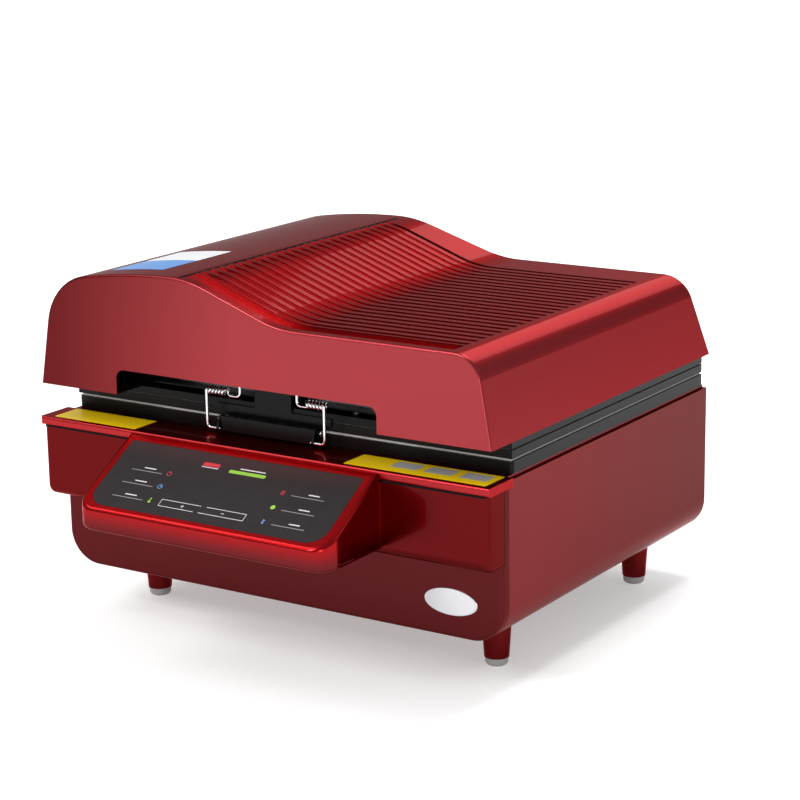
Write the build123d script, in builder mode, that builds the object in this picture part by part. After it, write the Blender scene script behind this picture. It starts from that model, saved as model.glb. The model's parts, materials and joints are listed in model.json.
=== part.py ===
from build123d import *
import os
from math import atan2, cos, degrees, dist, pi, radians, sin, sqrt, tan

# Bench-top vacuum heat press for three-dimensional sublimation transfers.
# Lengths are millimetres. X runs left to right, Y from the front to the back and Z up.
# The origin is on the floor, in the middle of the machine's width and depth.

os.makedirs("parts", exist_ok=True)

# ---------------------------------------------------------------- driving sizes
fit_gap = 0.3            # clearance between pieces that only lie beside each other
run_gap = 0.05           # radial clearance of a turning pin or shaft in its bore

# Cabinet, from the front to the back
machine_width = 560.0    # hood and ledge, side to side
console_reach = 97.0     # console's front ahead of the fascia
fascia_depth = 30.0      # fascia's front ahead of the lower front panel
panel_return = 13.0      # side flange of the lower front panel
shell_length = 435.7     # wrapped side and floor sheet
hinge_back = 8.3         # hinge axis behind the cabinet
hinge_r = 6.0            # hinge barrel radius
hinge_up = 4.0           # hinge axis above the tray's rim
tray_setback = 3.7       # tray's back ahead of the cabinet's
hood_setback = 0.9       # hood's back ahead of the tray's

# Cabinet, from the floor up
foot_height = 53.5
cabinet_height = 166.0
cabinet_inset = 4.8      # cabinet's side inside the hood's
cabinet_corner_r = 37.0
sheet = 2.0              # folded sheet of the cabinet
deck_height = 3.6
deck_inset = 3.2

# Fascia and ledge across the front
fascia_inset = 2.5       # fascia's end inside the ledge's
fascia_end_r = 6.0
fascia_top_r = 1.2
fascia_bottom_r = 12.0
fascia_drop = 78.5       # fascia height under the ledge
fascia_wall = 3.0
ledge_height = 9.2
ledge_up = 4.2           # ledge's top above the cabinet's
ledge_lip = 2.0          # overhang of the ledge ahead of the fascia
ledge_edge_r = 2.5
panel_edge_r = 5.0       # lower front panel's front edge

# Console
console_width = 312.0
console_height = 78.5
console_rise = 6.5       # console's top above the ledge's underside
console_chin = 24.0      # console's height at its front, before its rim is rounded
console_plan_r = 22.0    # front corners, seen from above
console_floor_r = 6.0
console_rim_r = 5.5
console_wall = 3.0
console_top_depth = 3.0  # flat part behind the slope
stub_low = 20.0          # console's lower fixing stubs above its floor
stub_high = 55.0
stub_height = 10.0
console_open = 1.0       # the hollow runs this far past the console's open back
overlay_width = 289.0
overlay_length = 91.5
overlay_margin = 7.4     # from the slope's top edge
overlay_sheet = 2.0
overlay_front_r = 20.0
overlay_back_r = 3.0

# Vacuum tray, platen and seal
tray_inset = 2.7         # tray's side inside the cabinet's
tray_length = 421.6
tray_rim_height = 12.4
tray_margin = 37.0       # rim, from its outside to the pan
tray_corner_r = 5.0
tray_depth = 62.0
tray_wall = 2.5
platen_drop = 38.0       # platen's top under the rim's top
platen_sheet = 3.0
platen_hole_d = 5.0
platen_pitch = 44.0
seal_width = 16.0
seal_height = 2.7
seal_inset = 3.0

# Membrane frame
frame_ring_height = 8.5
membrane_sheet = 1.5
membrane_inset = 4.0
clamp_height = 8.0
frame_margin = 36.0

# Hood
hood_lift = 2.6          # gap between the clamp ring and the hood
hood_length = 471.5
hood_crown = 131.8       # height of the high left side
hood_low = 91.6          # height of the low right side
hood_lean = 0.1775       # inward lean of the sides, per unit of height
hood_shoulder_r = 64.3
hood_shoulder_turn = 79.0  # degrees from level to upright that the shoulder covers
crown_share = 0.55       # share of the way to the crown where its arc is set
hood_right_r = 30.0
hood_shoulder_h = 70.0   # height where the left side starts to curve in
hood_crown_in = 180.0    # where the crown starts to fall, from the left side
hood_fall_r = 130.0      # both bends of the S-shaped fall
hood_fall_angle = 20.0
hood_wall = 3.0
hood_back_lean = 45.0    # how far the back leans forward at the crown
hood_edge_r = 2.5
notch_left = -176.0
notch_right = 150.0
notch_height = 27.0
notch_r = 10.0
rib_pitch = 15.0
rib_groove = 7.0
rib_depth = 5.0
rib_count = 24
rib_front = 34.0         # first groove behind the hood's front
lens_front = 10.0        # wide groove behind the hood's front
crease_past = 8.0        # crease beyond the start of the fall
rib_end_in = 44.0        # ribs' end inside the right side

# Heating chamber inside the hood
base_sheet = 2.0         # ring plate that closes the hood's underside
chamber_side = 40.0      # chamber's side inside the hood's
chamber_front = 76.0     # chamber's front behind the hood's front
chamber_length = 356.0
chamber_height = 75.0
chamber_sheet = 1.5
heater_d = 12.0
heater_count = 5
heater_height = 39.0     # tube axis above the hood's bottom
heater_block = 9.0       # ceramic end block, along the tube
fan_in = 130.0           # circulation fan inside the hood's left side
fan_shaft_d = 6.0
fan_r = 42.0
fan_height = 13.0
motor_r = 24.0
motor_height = 34.0
motor_bore = 24.0        # depth of the shaft's bore in the motor
fan_clear = 4.0          # between the fan and the chamber's roof

# Latch
latch_x = -10.0
lever_width = 122.0
lever_height = 15.5
lever_sheet = 2.0
lever_pivot_out = 7.4    # lever's pivot ahead of the tray
lever_pivot_up = 1.0     # lever's pivot above the tray rim
lever_pin_d = 4.0
bail_pivot_out = 16.4    # wire's pivot ahead of the tray
bail_pivot_drop = 7.0    # wire's pivot under the tray rim's top
bail_wire_d = 3.0
bail_span = 148.0        # between the two arms
bail_coil_r = 3.5        # of the wire's centre line
bail_coil_up = 39.0      # coil axis above the wire's pivot
bail_turns = 5           # full turns of each coil, before the last half turn
bail_pitch = 4.1
bail_loop_width = 72.0
bail_loop_up = 20.5      # loop's bar above the coils
bail_bend_r = 4.5
bail_pin_in = 2.0        # how far the wire's ends pass inside the lever's cheeks
catch_width = 46.0
catch_bar_width = 144.0
catch_sheet = 2.0
catch_bar_height = 8.0
catch_hook = 10.0        # hook's depth under the wire's bar
catch_over = 3.0         # hook's lip above the wire's bar
catch_gap = 1.3          # between the catch's lip and the wire at rest

# Feet
foot_side = 56.2         # feet inside the cabinet's sides
foot_front = 70.0        # front feet behind the wrapped sheet's front edge
foot_rear = 62.0         # rear feet ahead of its back edge
foot_top_r = 16.0
foot_low_r = 13.0
pad_r = 12.0
pad_height = 9.0

# ---------------------------------------------------------------- places that follow
machine_length = console_reach + fascia_depth + panel_return + shell_length + hinge_back + hinge_r
console_y = -machine_length / 2
fascia_y = console_y + console_reach
panel_y = fascia_y + fascia_depth
shell_y = panel_y + panel_return
back_y = shell_y + shell_length
hinge_y = back_y + hinge_back

cabinet_z = foot_height
cabinet_top = cabinet_z + cabinet_height
deck_top = cabinet_top + deck_height
tray_top = deck_top + tray_rim_height
frame_z = tray_top + seal_height + fit_gap
membrane_z = frame_z + frame_ring_height
clamp_z = membrane_z + membrane_sheet
frame_top = clamp_z + clamp_height
hood_z = frame_top + hood_lift
hinge_z = tray_top + hinge_up

ledge_top = cabinet_top + ledge_up
ledge_z = ledge_top - ledge_height
ledge_back = shell_y - fit_gap
tray_back = back_y - tray_setback
tray_front = tray_back - tray_length
tray_mid = (tray_front + tray_back) / 2
hood_back = tray_back - hood_setback
hood_front = hood_back - hood_length
half_width = machine_width / 2
cabinet_width = machine_width - 2 * cabinet_inset
half_cabinet = cabinet_width / 2
fascia_width = machine_width - 2 * fascia_inset
tray_width = cabinet_width - 2 * tray_inset
chamber_width = machine_width - 2 * chamber_side
hood_crown_x = -half_width + hood_crown_in
crease_x = hood_crown_x + crease_past
fan_x = -half_width + fan_in
foot_x = half_cabinet - foot_side


def front_plane(y):
    """Plane that faces the front at y: its own x runs along X and its y along Z."""
    return Plane.XZ.offset(-y)


def side_plane(x):
    """Plane that faces the right at x: its own x runs along Y and its y along Z."""
    return Plane.YZ.offset(x)


def finish(part, name):
    """Label a finished piece and write it to its own file."""
    part.label = name
    export_step(part, "parts/" + name + ".step")


# ---------------------------------------------------------------- cabinet
def cabinet_outline(inset):
    """U-shaped section of the cabinet, inset from its outside."""
    side = half_cabinet - inset
    floor = cabinet_z + inset
    radius = cabinet_corner_r - inset
    with BuildLine() as outline:
        Line((-side, cabinet_top), (-side, floor + radius))
        RadiusArc((-side, floor + radius), (-side + radius, floor), -radius)
        Line((-side + radius, floor), (side - radius, floor))
        RadiusArc((side - radius, floor), (side, floor + radius), -radius)
        Line((side, floor + radius), (side, cabinet_top))
        Line((side, cabinet_top), (-side, cabinet_top))
    return outline.line


flange = 22.0            # inward flange along the top of both sides
foot_screw_r = 3.0
foot_places = [
    (x, y)
    for x in (-foot_x, foot_x)
    for y in (shell_y + foot_front, back_y - foot_rear)
]

with BuildPart() as cabinet_shell:
    with BuildSketch(front_plane(shell_y)):
        add(cabinet_outline(0))
        make_face()
    extrude(amount=-shell_length)
    with BuildSketch(front_plane(shell_y)):
        add(cabinet_outline(sheet))
        make_face()
    extrude(amount=-shell_length, mode=Mode.SUBTRACT)
    for side in (-1, 1):
        with BuildSketch(front_plane(shell_y)):
            with Locations((side * (half_cabinet - flange / 2), cabinet_top - sheet / 2)):
                Rectangle(flange, sheet)
        extrude(amount=-shell_length)
    with BuildSketch(Plane.XY.offset(cabinet_z)):
        with Locations(*foot_places):
            Circle(foot_screw_r + fit_gap)
    extrude(amount=sheet, mode=Mode.SUBTRACT)
finish(cabinet_shell.part, "cabinet_shell")

# Lower front panel: a shallow pan with a rounded front edge, whose returns meet the wrapped sheet
with BuildPart() as front_panel:
    with BuildSketch(front_plane(panel_y)):
        add(cabinet_outline(0))
        make_face()
        with Locations((0, cabinet_top)):
            Rectangle(machine_width, 2 * (cabinet_top - ledge_z), mode=Mode.SUBTRACT)
    extrude(amount=-panel_return)
    fillet(front_panel.faces().sort_by(Axis.Y)[0].edges().sort_by(Axis.Z)[:-1], panel_edge_r)
    panel_back = front_panel.faces().sort_by(Axis.Y)[-1]
    panel_top = front_panel.faces().sort_by(Axis.Z)[-1]
    offset(amount=-sheet, openings=[panel_back, panel_top])
finish(front_panel.part, "front_panel")

# Fascia: the bulge across the front, open at the back, with its lower edge rounded
fascia_z = ledge_z - fascia_drop
with BuildPart() as front_fascia:
    with BuildSketch(side_plane(0)):
        with BuildLine():
            Line((panel_y, ledge_z), (fascia_y, ledge_z))
            Line((fascia_y, ledge_z), (fascia_y, fascia_z + fascia_bottom_r))
            RadiusArc(
                (fascia_y, fascia_z + fascia_bottom_r),
                (fascia_y + fascia_bottom_r, fascia_z),
                -fascia_bottom_r,
            )
            Line((fascia_y + fascia_bottom_r, fascia_z), (panel_y, fascia_z))
            Line((panel_y, fascia_z), (panel_y, ledge_z))
        make_face()
    extrude(amount=fascia_width / 2, both=True)
    fillet(
        front_fascia.faces().group_by(Axis.X)[0].edges().group_by(Axis.Y)[0]
        + front_fascia.faces().group_by(Axis.X)[-1].edges().group_by(Axis.Y)[0],
        fascia_end_r,
    )
    offset(amount=-fascia_wall, openings=front_fascia.faces().sort_by(Axis.Y)[-1])
    fascia_rim = front_fascia.faces().sort_by(Axis.Z)[-1].edges().sort_by(Axis.Y)[0]
    fillet(fascia_rim, fascia_top_r)
finish(front_fascia.part, "front_fascia")

# Ledge over the fascia, with a lip that casts a dark line
with BuildPart() as front_ledge:
    with BuildSketch(side_plane(0)):
        with BuildLine():
            Polyline(
                (ledge_back, ledge_top),
                (fascia_y - ledge_lip, ledge_top),
                (fascia_y - ledge_lip, ledge_z),
                (fascia_y + fascia_wall, ledge_z),
                (fascia_y + fascia_wall, ledge_z + fascia_wall),
                (ledge_back - fascia_wall, ledge_z + fascia_wall),
                (ledge_back - fascia_wall, ledge_z),
                (ledge_back, ledge_z),
                close=True,
            )
        make_face()
    extrude(amount=half_width, both=True)
    fillet(front_ledge.faces().sort_by(Axis.Y)[0].edges(), ledge_edge_r)
finish(front_ledge.part, "front_ledge")

# ---------------------------------------------------------------- console
console_top = ledge_z + console_rise
console_z = console_top - console_height
slope_back_y = fascia_y - ledge_lip - fit_gap
slope_angle = atan2(console_height - console_chin, slope_back_y - console_top_depth - console_y)
slope_start = (slope_back_y - console_top_depth, console_top)
slope_plane = Plane(
    origin=(0, slope_start[0], slope_start[1]),
    x_dir=(1, 0, 0),
    z_dir=(0, -sin(slope_angle), cos(slope_angle)),
)


def console_body(inset, drop, back):
    """Console inset from its outside, with its slope lowered by drop."""
    front = console_y + inset
    with BuildPart(mode=Mode.PRIVATE) as body:
        with BuildSketch(Plane.XY.offset(console_z + inset)):
            with Locations((0, (front + back) / 2)):
                Rectangle(console_width - 2 * inset, back - front)
        extrude(amount=console_height - inset)
        fillet(body.edges().filter_by(Axis.Z).group_by(Axis.Y)[0], console_plan_r - inset)
        floor_edges = body.edges().group_by(Axis.Z)[0].sort_by(Axis.Y)[:-1]
        fillet(floor_edges, console_floor_r - inset)
        with BuildSketch(slope_plane.offset(-drop)):
            Rectangle(2 * console_width, 4 * console_height)
        extrude(amount=2 * console_height, mode=Mode.SUBTRACT)
    return body.part


def overlay_outline(sketch, gap):
    """Control sheet's outline on the slope, grown by a gap: tight corners behind, wide in front."""
    with Locations((0, -overlay_margin - overlay_length / 2)):
        Rectangle(overlay_width + 2 * gap, overlay_length + 2 * gap)
    fillet(sketch.vertices().group_by(Axis.Y)[0], overlay_front_r + gap)
    fillet(sketch.vertices().group_by(Axis.Y)[-1], overlay_back_r + gap)


with BuildPart() as control_console:
    add(console_body(0, 0, slope_back_y))
    slope_face = control_console.faces().sort_by(Axis.Z)[-2]
    fillet(slope_face.edges().sort_by(Axis.Y)[:-1], console_rim_r)
    add(
        console_body(console_wall, console_wall + overlay_sheet, slope_back_y + console_open),
        mode=Mode.SUBTRACT,
    )
    with BuildSketch(slope_plane) as overlay_recess:
        overlay_outline(overlay_recess, fit_gap)
    extrude(amount=-overlay_sheet, mode=Mode.SUBTRACT)
    # Four stubs on the side walls reach the fascia under the ledge's lip
    with BuildSketch(front_plane(slope_back_y)):
        with Locations(*[
            (side * (console_width - console_wall) / 2, console_z + height)
            for side in (-1, 1)
            for height in (stub_low, stub_high)
        ]):
            Rectangle(console_wall, stub_height)
    extrude(amount=-(ledge_lip + fit_gap))
finish(control_console.part, "control_console")

with BuildPart() as touch_overlay:
    with BuildSketch(slope_plane.offset(-overlay_sheet)) as overlay_sheet_face:
        overlay_outline(overlay_sheet_face, 0)
    extrude(amount=overlay_sheet)
finish(touch_overlay.part, "touch_overlay")

board_sheet = 1.6
board_gap = 6.0          # air between the console's wall and its board
board_shift = 8.0        # board's middle up the slope from the sheet's
board_side = 25.0        # board's side inside the sheet's
board_end = 19.0
board_post_r = 3.0
board_post_in = 8.0      # posts inside the board's edges
board_width = overlay_width - 2 * board_side
board_length = overlay_length - 2 * board_end
board_mid = -overlay_margin - overlay_length / 2 + board_shift
with BuildPart() as console_board:
    board_plane = slope_plane.offset(-(console_wall + 2 * overlay_sheet + board_gap))
    with BuildSketch(board_plane):
        with Locations((0, board_mid)):
            Rectangle(board_width, board_length)
    extrude(amount=-board_sheet)
    with BuildSketch(board_plane):
        with Locations((0, board_mid)):
            with GridLocations(board_width - 2 * board_post_in, board_length - 2 * board_post_in, 2, 2):
                Circle(board_post_r)
    extrude(amount=board_gap + overlay_sheet)
finish(console_board.part, "console_board")

# ---------------------------------------------------------------- feet
with BuildPart() as feet:
    with Locations(*[(x, y, pad_height) for x, y in foot_places]):
        Cone(
            foot_low_r,
            foot_top_r,
            foot_height - pad_height,
            align=(Align.CENTER, Align.CENTER, Align.MIN),
        )
    with BuildSketch(Plane.XY.offset(pad_height)):
        with Locations(*foot_places):
            Circle(foot_screw_r + fit_gap)
    extrude(amount=foot_height - pad_height, mode=Mode.SUBTRACT)
    with BuildSketch(Plane.XY.offset(pad_height)):
        with Locations(*foot_places):
            Circle(2 * foot_screw_r)
    extrude(amount=2 * foot_screw_r, mode=Mode.SUBTRACT)
finish(feet.part, "feet")

with BuildPart() as foot_pads:
    with Locations(*[(x, y, 0) for x, y in foot_places]):
        Cylinder(pad_r, pad_height, align=(Align.CENTER, Align.CENTER, Align.MIN))
    fillet(foot_pads.edges().group_by(Axis.Z)[0], pad_height / 2)
finish(foot_pads.part, "foot_pads")

nut_height = 4.5
screw_top = cabinet_z + sheet + nut_height + sheet
with BuildPart() as foot_screws:
    with BuildSketch(Plane.XY.offset(pad_height + foot_screw_r)):
        with Locations(*foot_places):
            Circle(2 * foot_screw_r - fit_gap)
    extrude(amount=foot_screw_r)
    with BuildSketch(Plane.XY.offset(pad_height + foot_screw_r)):
        with Locations(*foot_places):
            Circle(foot_screw_r)
    extrude(amount=screw_top - pad_height - foot_screw_r)
    with BuildSketch(Plane.XY.offset(cabinet_z + sheet)):
        with Locations(*foot_places):
            RegularPolygon(2 * foot_screw_r, 6)
    extrude(amount=nut_height)
finish(foot_screws.part, "foot_screws")

# ---------------------------------------------------------------- deck, tray, platen and seal
pan_width = tray_width - 2 * tray_margin
pan_length = tray_length - 2 * tray_margin
platen_z = tray_top - platen_drop - platen_sheet
pan_step = 9.0           # ledge that carries the platen
pan_floor = tray_top - tray_depth
nipple_r = 6.0
nipple_bore_r = 4.0
nipple_length = 14.0
hose_x = 70.0
hose_y = 60.0
valve_x = -90.0
valve_y = 120.0
deck_gap = 2.5           # air between the pan's wall and the deck's opening
deck_opening = tray_wall + deck_gap


def tray_rectangle(width, length):
    """Rectangle about the middle of the tray."""
    with Locations((0, tray_mid)):
        Rectangle(width, length)


with BuildPart() as deck_frame:
    with BuildSketch(Plane.XY.offset(cabinet_top)):
        with Locations((0, (shell_y + tray_back) / 2)):
            Rectangle(cabinet_width - 2 * deck_inset, tray_back - shell_y)
        with Locations((0, tray_mid)):
            Rectangle(
                pan_width + 2 * deck_opening,
                pan_length + 2 * deck_opening,
                mode=Mode.SUBTRACT,
            )
    extrude(amount=deck_height)
finish(deck_frame.part, "deck_frame")

with BuildPart() as vacuum_tray:
    with BuildSketch(Plane.XY.offset(deck_top)):
        tray_rectangle(tray_width, tray_length)
    extrude(amount=tray_rim_height)
    fillet(vacuum_tray.edges().filter_by(Axis.Z), tray_corner_r)
    with BuildSketch(Plane.XY.offset(deck_top)):
        tray_rectangle(tray_width - 2 * tray_wall, tray_length - 2 * tray_wall)
    extrude(amount=tray_rim_height - tray_wall, mode=Mode.SUBTRACT)
    with BuildSketch(Plane.XY.offset(platen_z - tray_wall)):
        tray_rectangle(pan_width + 2 * tray_wall, pan_length + 2 * tray_wall)
    extrude(amount=tray_top - platen_z + tray_wall)
    with BuildSketch(Plane.XY.offset(pan_floor)):
        tray_rectangle(
            pan_width + 2 * tray_wall - 2 * pan_step,
            pan_length + 2 * tray_wall - 2 * pan_step,
        )
    extrude(amount=platen_z - pan_floor)
    with BuildSketch(Plane.XY.offset(platen_z)):
        tray_rectangle(pan_width, pan_length)
    extrude(amount=tray_top - platen_z, mode=Mode.SUBTRACT)
    with BuildSketch(Plane.XY.offset(pan_floor + tray_wall)):
        tray_rectangle(pan_width - 2 * pan_step, pan_length - 2 * pan_step)
    extrude(amount=platen_z - pan_floor - tray_wall, mode=Mode.SUBTRACT)
    with BuildSketch(Plane.XY.offset(pan_floor)):
        with Locations((hose_x, hose_y), (valve_x, valve_y)):
            Circle(nipple_r)
    extrude(amount=-nipple_length)
    with BuildSketch(Plane.XY.offset(pan_floor - nipple_length)):
        with Locations((hose_x, hose_y), (valve_x, valve_y)):
            Circle(nipple_bore_r)
    extrude(amount=nipple_length + tray_wall, mode=Mode.SUBTRACT)
finish(vacuum_tray.part, "vacuum_tray")

platen_edge = 10.0       # plain border of the platen
hole_columns = int((pan_width - 2 * platen_edge) // platen_pitch)
hole_rows = int((pan_length - 2 * platen_edge) // platen_pitch)
with BuildPart() as platen:
    with BuildSketch(Plane.XY.offset(platen_z)):
        tray_rectangle(pan_width - 2 * fit_gap, pan_length - 2 * fit_gap)
        with Locations((0, tray_mid)):
            with GridLocations(platen_pitch, platen_pitch, hole_columns, hole_rows):
                Circle(platen_hole_d / 2, mode=Mode.SUBTRACT)
    extrude(amount=platen_sheet)
finish(platen.part, "perforated_platen")

seal_length = tray_length - 2 * seal_inset
with BuildPart() as seal:
    with BuildSketch(Plane.XY.offset(tray_top)):
        tray_rectangle(tray_width - 2 * seal_inset, seal_length)
        with Locations((0, tray_mid)):
            Rectangle(
                tray_width - 2 * seal_inset - 2 * seal_width,
                seal_length - 2 * seal_width,
                mode=Mode.SUBTRACT,
            )
    extrude(amount=seal_height)
finish(seal.part, "tray_seal")

# ---------------------------------------------------------------- back panel and what it holds
fan_bore_r = 37.0
guard_wire = 2.5
guard_pitch = 11.0       # from one ring of the finger guard to the next
guard_rings = 3
guard_spokes = 4
guard_turn = 45.0        # first spoke from level, in degrees
fan_rim = 3.0            # fan frame around its bore
guard_r = fan_bore_r + fan_rim
guard_spoke = (guard_rings - 1) * guard_pitch
guard_middle = guard_r - guard_wire / 2 - guard_spoke / 2
fan_side_in = 125.2      # cooling fan inside the cabinet's left side
fan_up = 78.0            # cooling fan and vent slots above the cabinet's floor
inlet_in = 85.2          # inlet and switch inside the cabinet's right side
inlet_up = 50.0
switch_up = 100.0
vent_x = 20.0
vent_pitch = 9.0
vent_count = 10
vent_slot = 34.0
vent_width = 4.0
vent_land = 10.0         # between the two rows of slots
cooling_fan_place = (-half_cabinet + fan_side_in, cabinet_z + fan_up)
inlet_place = (half_cabinet - inlet_in, cabinet_z + inlet_up)
switch_place = (half_cabinet - inlet_in, cabinet_z + switch_up)
vent_place = (vent_x, cabinet_z + fan_up)
cut_width = 28.0         # panel cut-outs of the inlet and the switch
cut_height = 22.0
inlet_size = (cut_width, cut_height)
switch_size = (cut_width, cut_height)

with BuildPart() as rear_panel:
    with BuildSketch(front_plane(back_y - sheet)):
        add(cabinet_outline(sheet))
        make_face()
        with Locations((0, cabinet_top)):
            Rectangle(machine_width, 2 * sheet, mode=Mode.SUBTRACT)
        with Locations(cooling_fan_place):
            Circle(fan_bore_r, mode=Mode.SUBTRACT)
        with Locations(inlet_place):
            Rectangle(*inlet_size, mode=Mode.SUBTRACT)
        with Locations(switch_place):
            Rectangle(*switch_size, mode=Mode.SUBTRACT)
        with Locations(vent_place):
            with GridLocations(vent_pitch, vent_slot + vent_land, vent_count, 2):
                SlotOverall(vent_slot, vent_width, rotation=90, mode=Mode.SUBTRACT)
    extrude(amount=-sheet)
finish(rear_panel.part, "rear_panel")

# Finger guard of the cooling fan: rings joined by four spokes
with BuildPart() as fan_guard:
    with BuildSketch(front_plane(back_y)):
        with Locations(cooling_fan_place):
            for number in range(guard_rings):
                ring_r = guard_r - number * guard_pitch
                Circle(ring_r)
                Circle(ring_r - guard_wire, mode=Mode.SUBTRACT)
            with PolarLocations(guard_middle, guard_spokes, guard_turn):
                Rectangle(guard_spoke, guard_wire)
    extrude(amount=-sheet)
finish(fan_guard.part, "fan_guard")

fan_depth = 25.0
fan_struts = 3
fan_strut = 5.0
fan_strut_depth = 4.0
fan_corner_r = 6.0
fan_hub_r = 15.0
fan_shaft_r = 2.0
fan_side = 2 * (fan_bore_r + fan_rim)
fan_y = back_y - sheet - fan_depth
with BuildPart() as cooling_fan_frame:
    with BuildSketch(front_plane(fan_y)):
        with Locations(cooling_fan_place):
            RectangleRounded(fan_side, fan_side, fan_corner_r)
            Circle(fan_bore_r, mode=Mode.SUBTRACT)
    extrude(amount=-fan_depth)
    with BuildSketch(front_plane(fan_y)):
        with Locations(cooling_fan_place):
            Circle(fan_hub_r)
            with PolarLocations((fan_bore_r + fan_hub_r) / 2, fan_struts):
                Rectangle(fan_bore_r - fan_hub_r + fan_rim, fan_strut)
    extrude(amount=-fan_strut_depth)
    with BuildSketch(front_plane(fan_y + fan_strut_depth)):
        with Locations(cooling_fan_place):
            Circle(fan_shaft_r)
    extrude(amount=-(fan_depth - 2 * fan_strut_depth))
finish(cooling_fan_frame.part, "cooling_fan_frame")


def blade(root_r, tip_r, chord, width, pitch_angle):
    """Flat fan blade on +X, twisted about its own length, for an axle along Y."""
    long = tip_r - root_r
    solid = Box(
        long, width, chord,
        align=(Align.MIN, Align.CENTER, Align.CENTER),
        mode=Mode.PRIVATE,
    )
    return Pos(root_r, 0, 0) * Rot(pitch_angle, 0, 0) * solid


cooling_blades = 7
rotor_width = 15.0
blade_chord = 14.0
blade_sheet = 1.5
blade_pitch = 50.0       # degrees
blade_clear = 2.0        # between a blade's tip and the bore
with BuildPart() as cooling_fan_rotor:
    with BuildSketch(front_plane(fan_y + fan_strut_depth + fit_gap)):
        Circle(fan_hub_r)
    extrude(amount=-rotor_width)
    for number in range(cooling_blades):
        turned = Rot(0, number * 360 / cooling_blades, 0)
        one = blade(
            fan_hub_r - blade_clear,
            fan_bore_r - blade_clear,
            blade_chord,
            blade_sheet,
            blade_pitch,
        )
        add(Pos(0, fan_y + fan_strut_depth + fit_gap + rotor_width / 2, 0) * turned * one)
    with BuildSketch(front_plane(fan_y)):
        Circle(fan_shaft_r + run_gap)
    extrude(amount=-fan_depth, mode=Mode.SUBTRACT)
cooling_fan_rotor.part.position = (cooling_fan_place[0], 0, cooling_fan_place[1])
finish(cooling_fan_rotor.part, "cooling_fan_rotor")

# Mains inlet: three pins in an open socket
inlet_flange = 3.0
inlet_depth = 20.0
flange_side = 10.0       # inlet's flange beyond its cut-out, at the sides
flange_end = 3.0
flange_corner_r = 3.0
socket_width = 24.0
socket_height = 16.4
socket_corner_r = 2.0
socket_floor = 4.0
pin_width = 2.0
pin_height = 4.0
pin_length = 15.0
pin_side = 7.0           # outer pins from the middle one
pin_low = -2.0
pin_high = 3.0
with BuildPart() as power_inlet:
    with BuildSketch(front_plane(back_y)):
        with Locations(inlet_place):
            RectangleRounded(
                inlet_size[0] + 2 * flange_side,
                inlet_size[1] + 2 * flange_end,
                flange_corner_r,
            )
    extrude(amount=-inlet_flange)
    with BuildSketch(front_plane(back_y)):
        with Locations(inlet_place):
            Rectangle(inlet_size[0] - 2 * fit_gap, inlet_size[1] - 2 * fit_gap)
    extrude(amount=inlet_depth)
    with BuildSketch(front_plane(back_y + inlet_flange)):
        with Locations(inlet_place):
            RectangleRounded(socket_width, socket_height, socket_corner_r)
    extrude(amount=inlet_flange + inlet_depth - socket_floor, mode=Mode.SUBTRACT)
    with BuildSketch(front_plane(back_y - inlet_depth + socket_floor + pin_length)):
        with Locations(*[
            (inlet_place[0] + x, inlet_place[1] + z)
            for x, z in ((-pin_side, pin_low), (0, pin_high), (pin_side, pin_low))
        ]):
            Rectangle(pin_width, pin_height)
    extrude(amount=pin_length)
finish(power_inlet.part, "power_inlet")

# Mains switch: a rocker that tips in its bezel
rocker_width = 18.0
rocker_height = 17.0
rocker_tip = 7.0         # degrees from level in the off position
rocker_pin_r = 1.5
rocker_out = 1.0         # rocker's pin behind the cabinet's back
rocker_y = back_y + rocker_out
bezel_lip = 2.0
bezel_depth = 18.0
bezel_bore = 16.0
rocker_room = 1.3        # over and under the rocker
rocker_pin_in = 2.0      # pin's length in the bezel's wall
rocker_rise = 5.0        # crown of the rocker's ends behind its pin
rocker_dip = 3.0
rocker_root = 6.0
with BuildPart() as switch_bezel:
    with BuildSketch(front_plane(back_y)):
        with Locations(switch_place):
            RectangleRounded(
                switch_size[0] + 2 * bezel_lip,
                switch_size[1] + 2 * bezel_lip,
                bezel_lip,
            )
    extrude(amount=-inlet_flange)
    with BuildSketch(front_plane(back_y)):
        with Locations(switch_place):
            Rectangle(switch_size[0] - 2 * fit_gap, switch_size[1] - 2 * fit_gap)
    extrude(amount=bezel_depth)
    with BuildSketch(front_plane(back_y + inlet_flange)):
        with Locations(switch_place):
            Rectangle(rocker_width + 2 * fit_gap, rocker_height + 2 * rocker_room)
    extrude(amount=bezel_bore, mode=Mode.SUBTRACT)
    with BuildSketch(side_plane(switch_place[0])):
        with Locations((rocker_y, switch_place[1])):
            Circle(rocker_pin_r + run_gap)
    extrude(amount=rocker_width / 2 + rocker_pin_in + fit_gap, both=True, mode=Mode.SUBTRACT)
finish(switch_bezel.part, "switch_bezel")

half_rocker = rocker_height / 2
with BuildPart() as switch_rocker:
    with BuildSketch(side_plane(0)):
        with BuildLine():
            Polyline(
                (-rocker_root, rocker_root / 2),
                (0, half_rocker),
                (rocker_rise, half_rocker),
                (rocker_dip, 0),
                (rocker_rise, -half_rocker),
                (0, -half_rocker),
                (-rocker_root, -rocker_root / 2),
                close=True,
            )
        make_face()
    extrude(amount=rocker_width / 2, both=True)
    with BuildSketch(side_plane(0)):
        Circle(rocker_pin_r)
    extrude(amount=rocker_width / 2 + rocker_pin_in, both=True)
switch_rocker.part.orientation = (rocker_tip, 0, 0)
switch_rocker.part.position = (switch_place[0], rocker_y, switch_place[1])
finish(switch_rocker.part, "switch_rocker")

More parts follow.
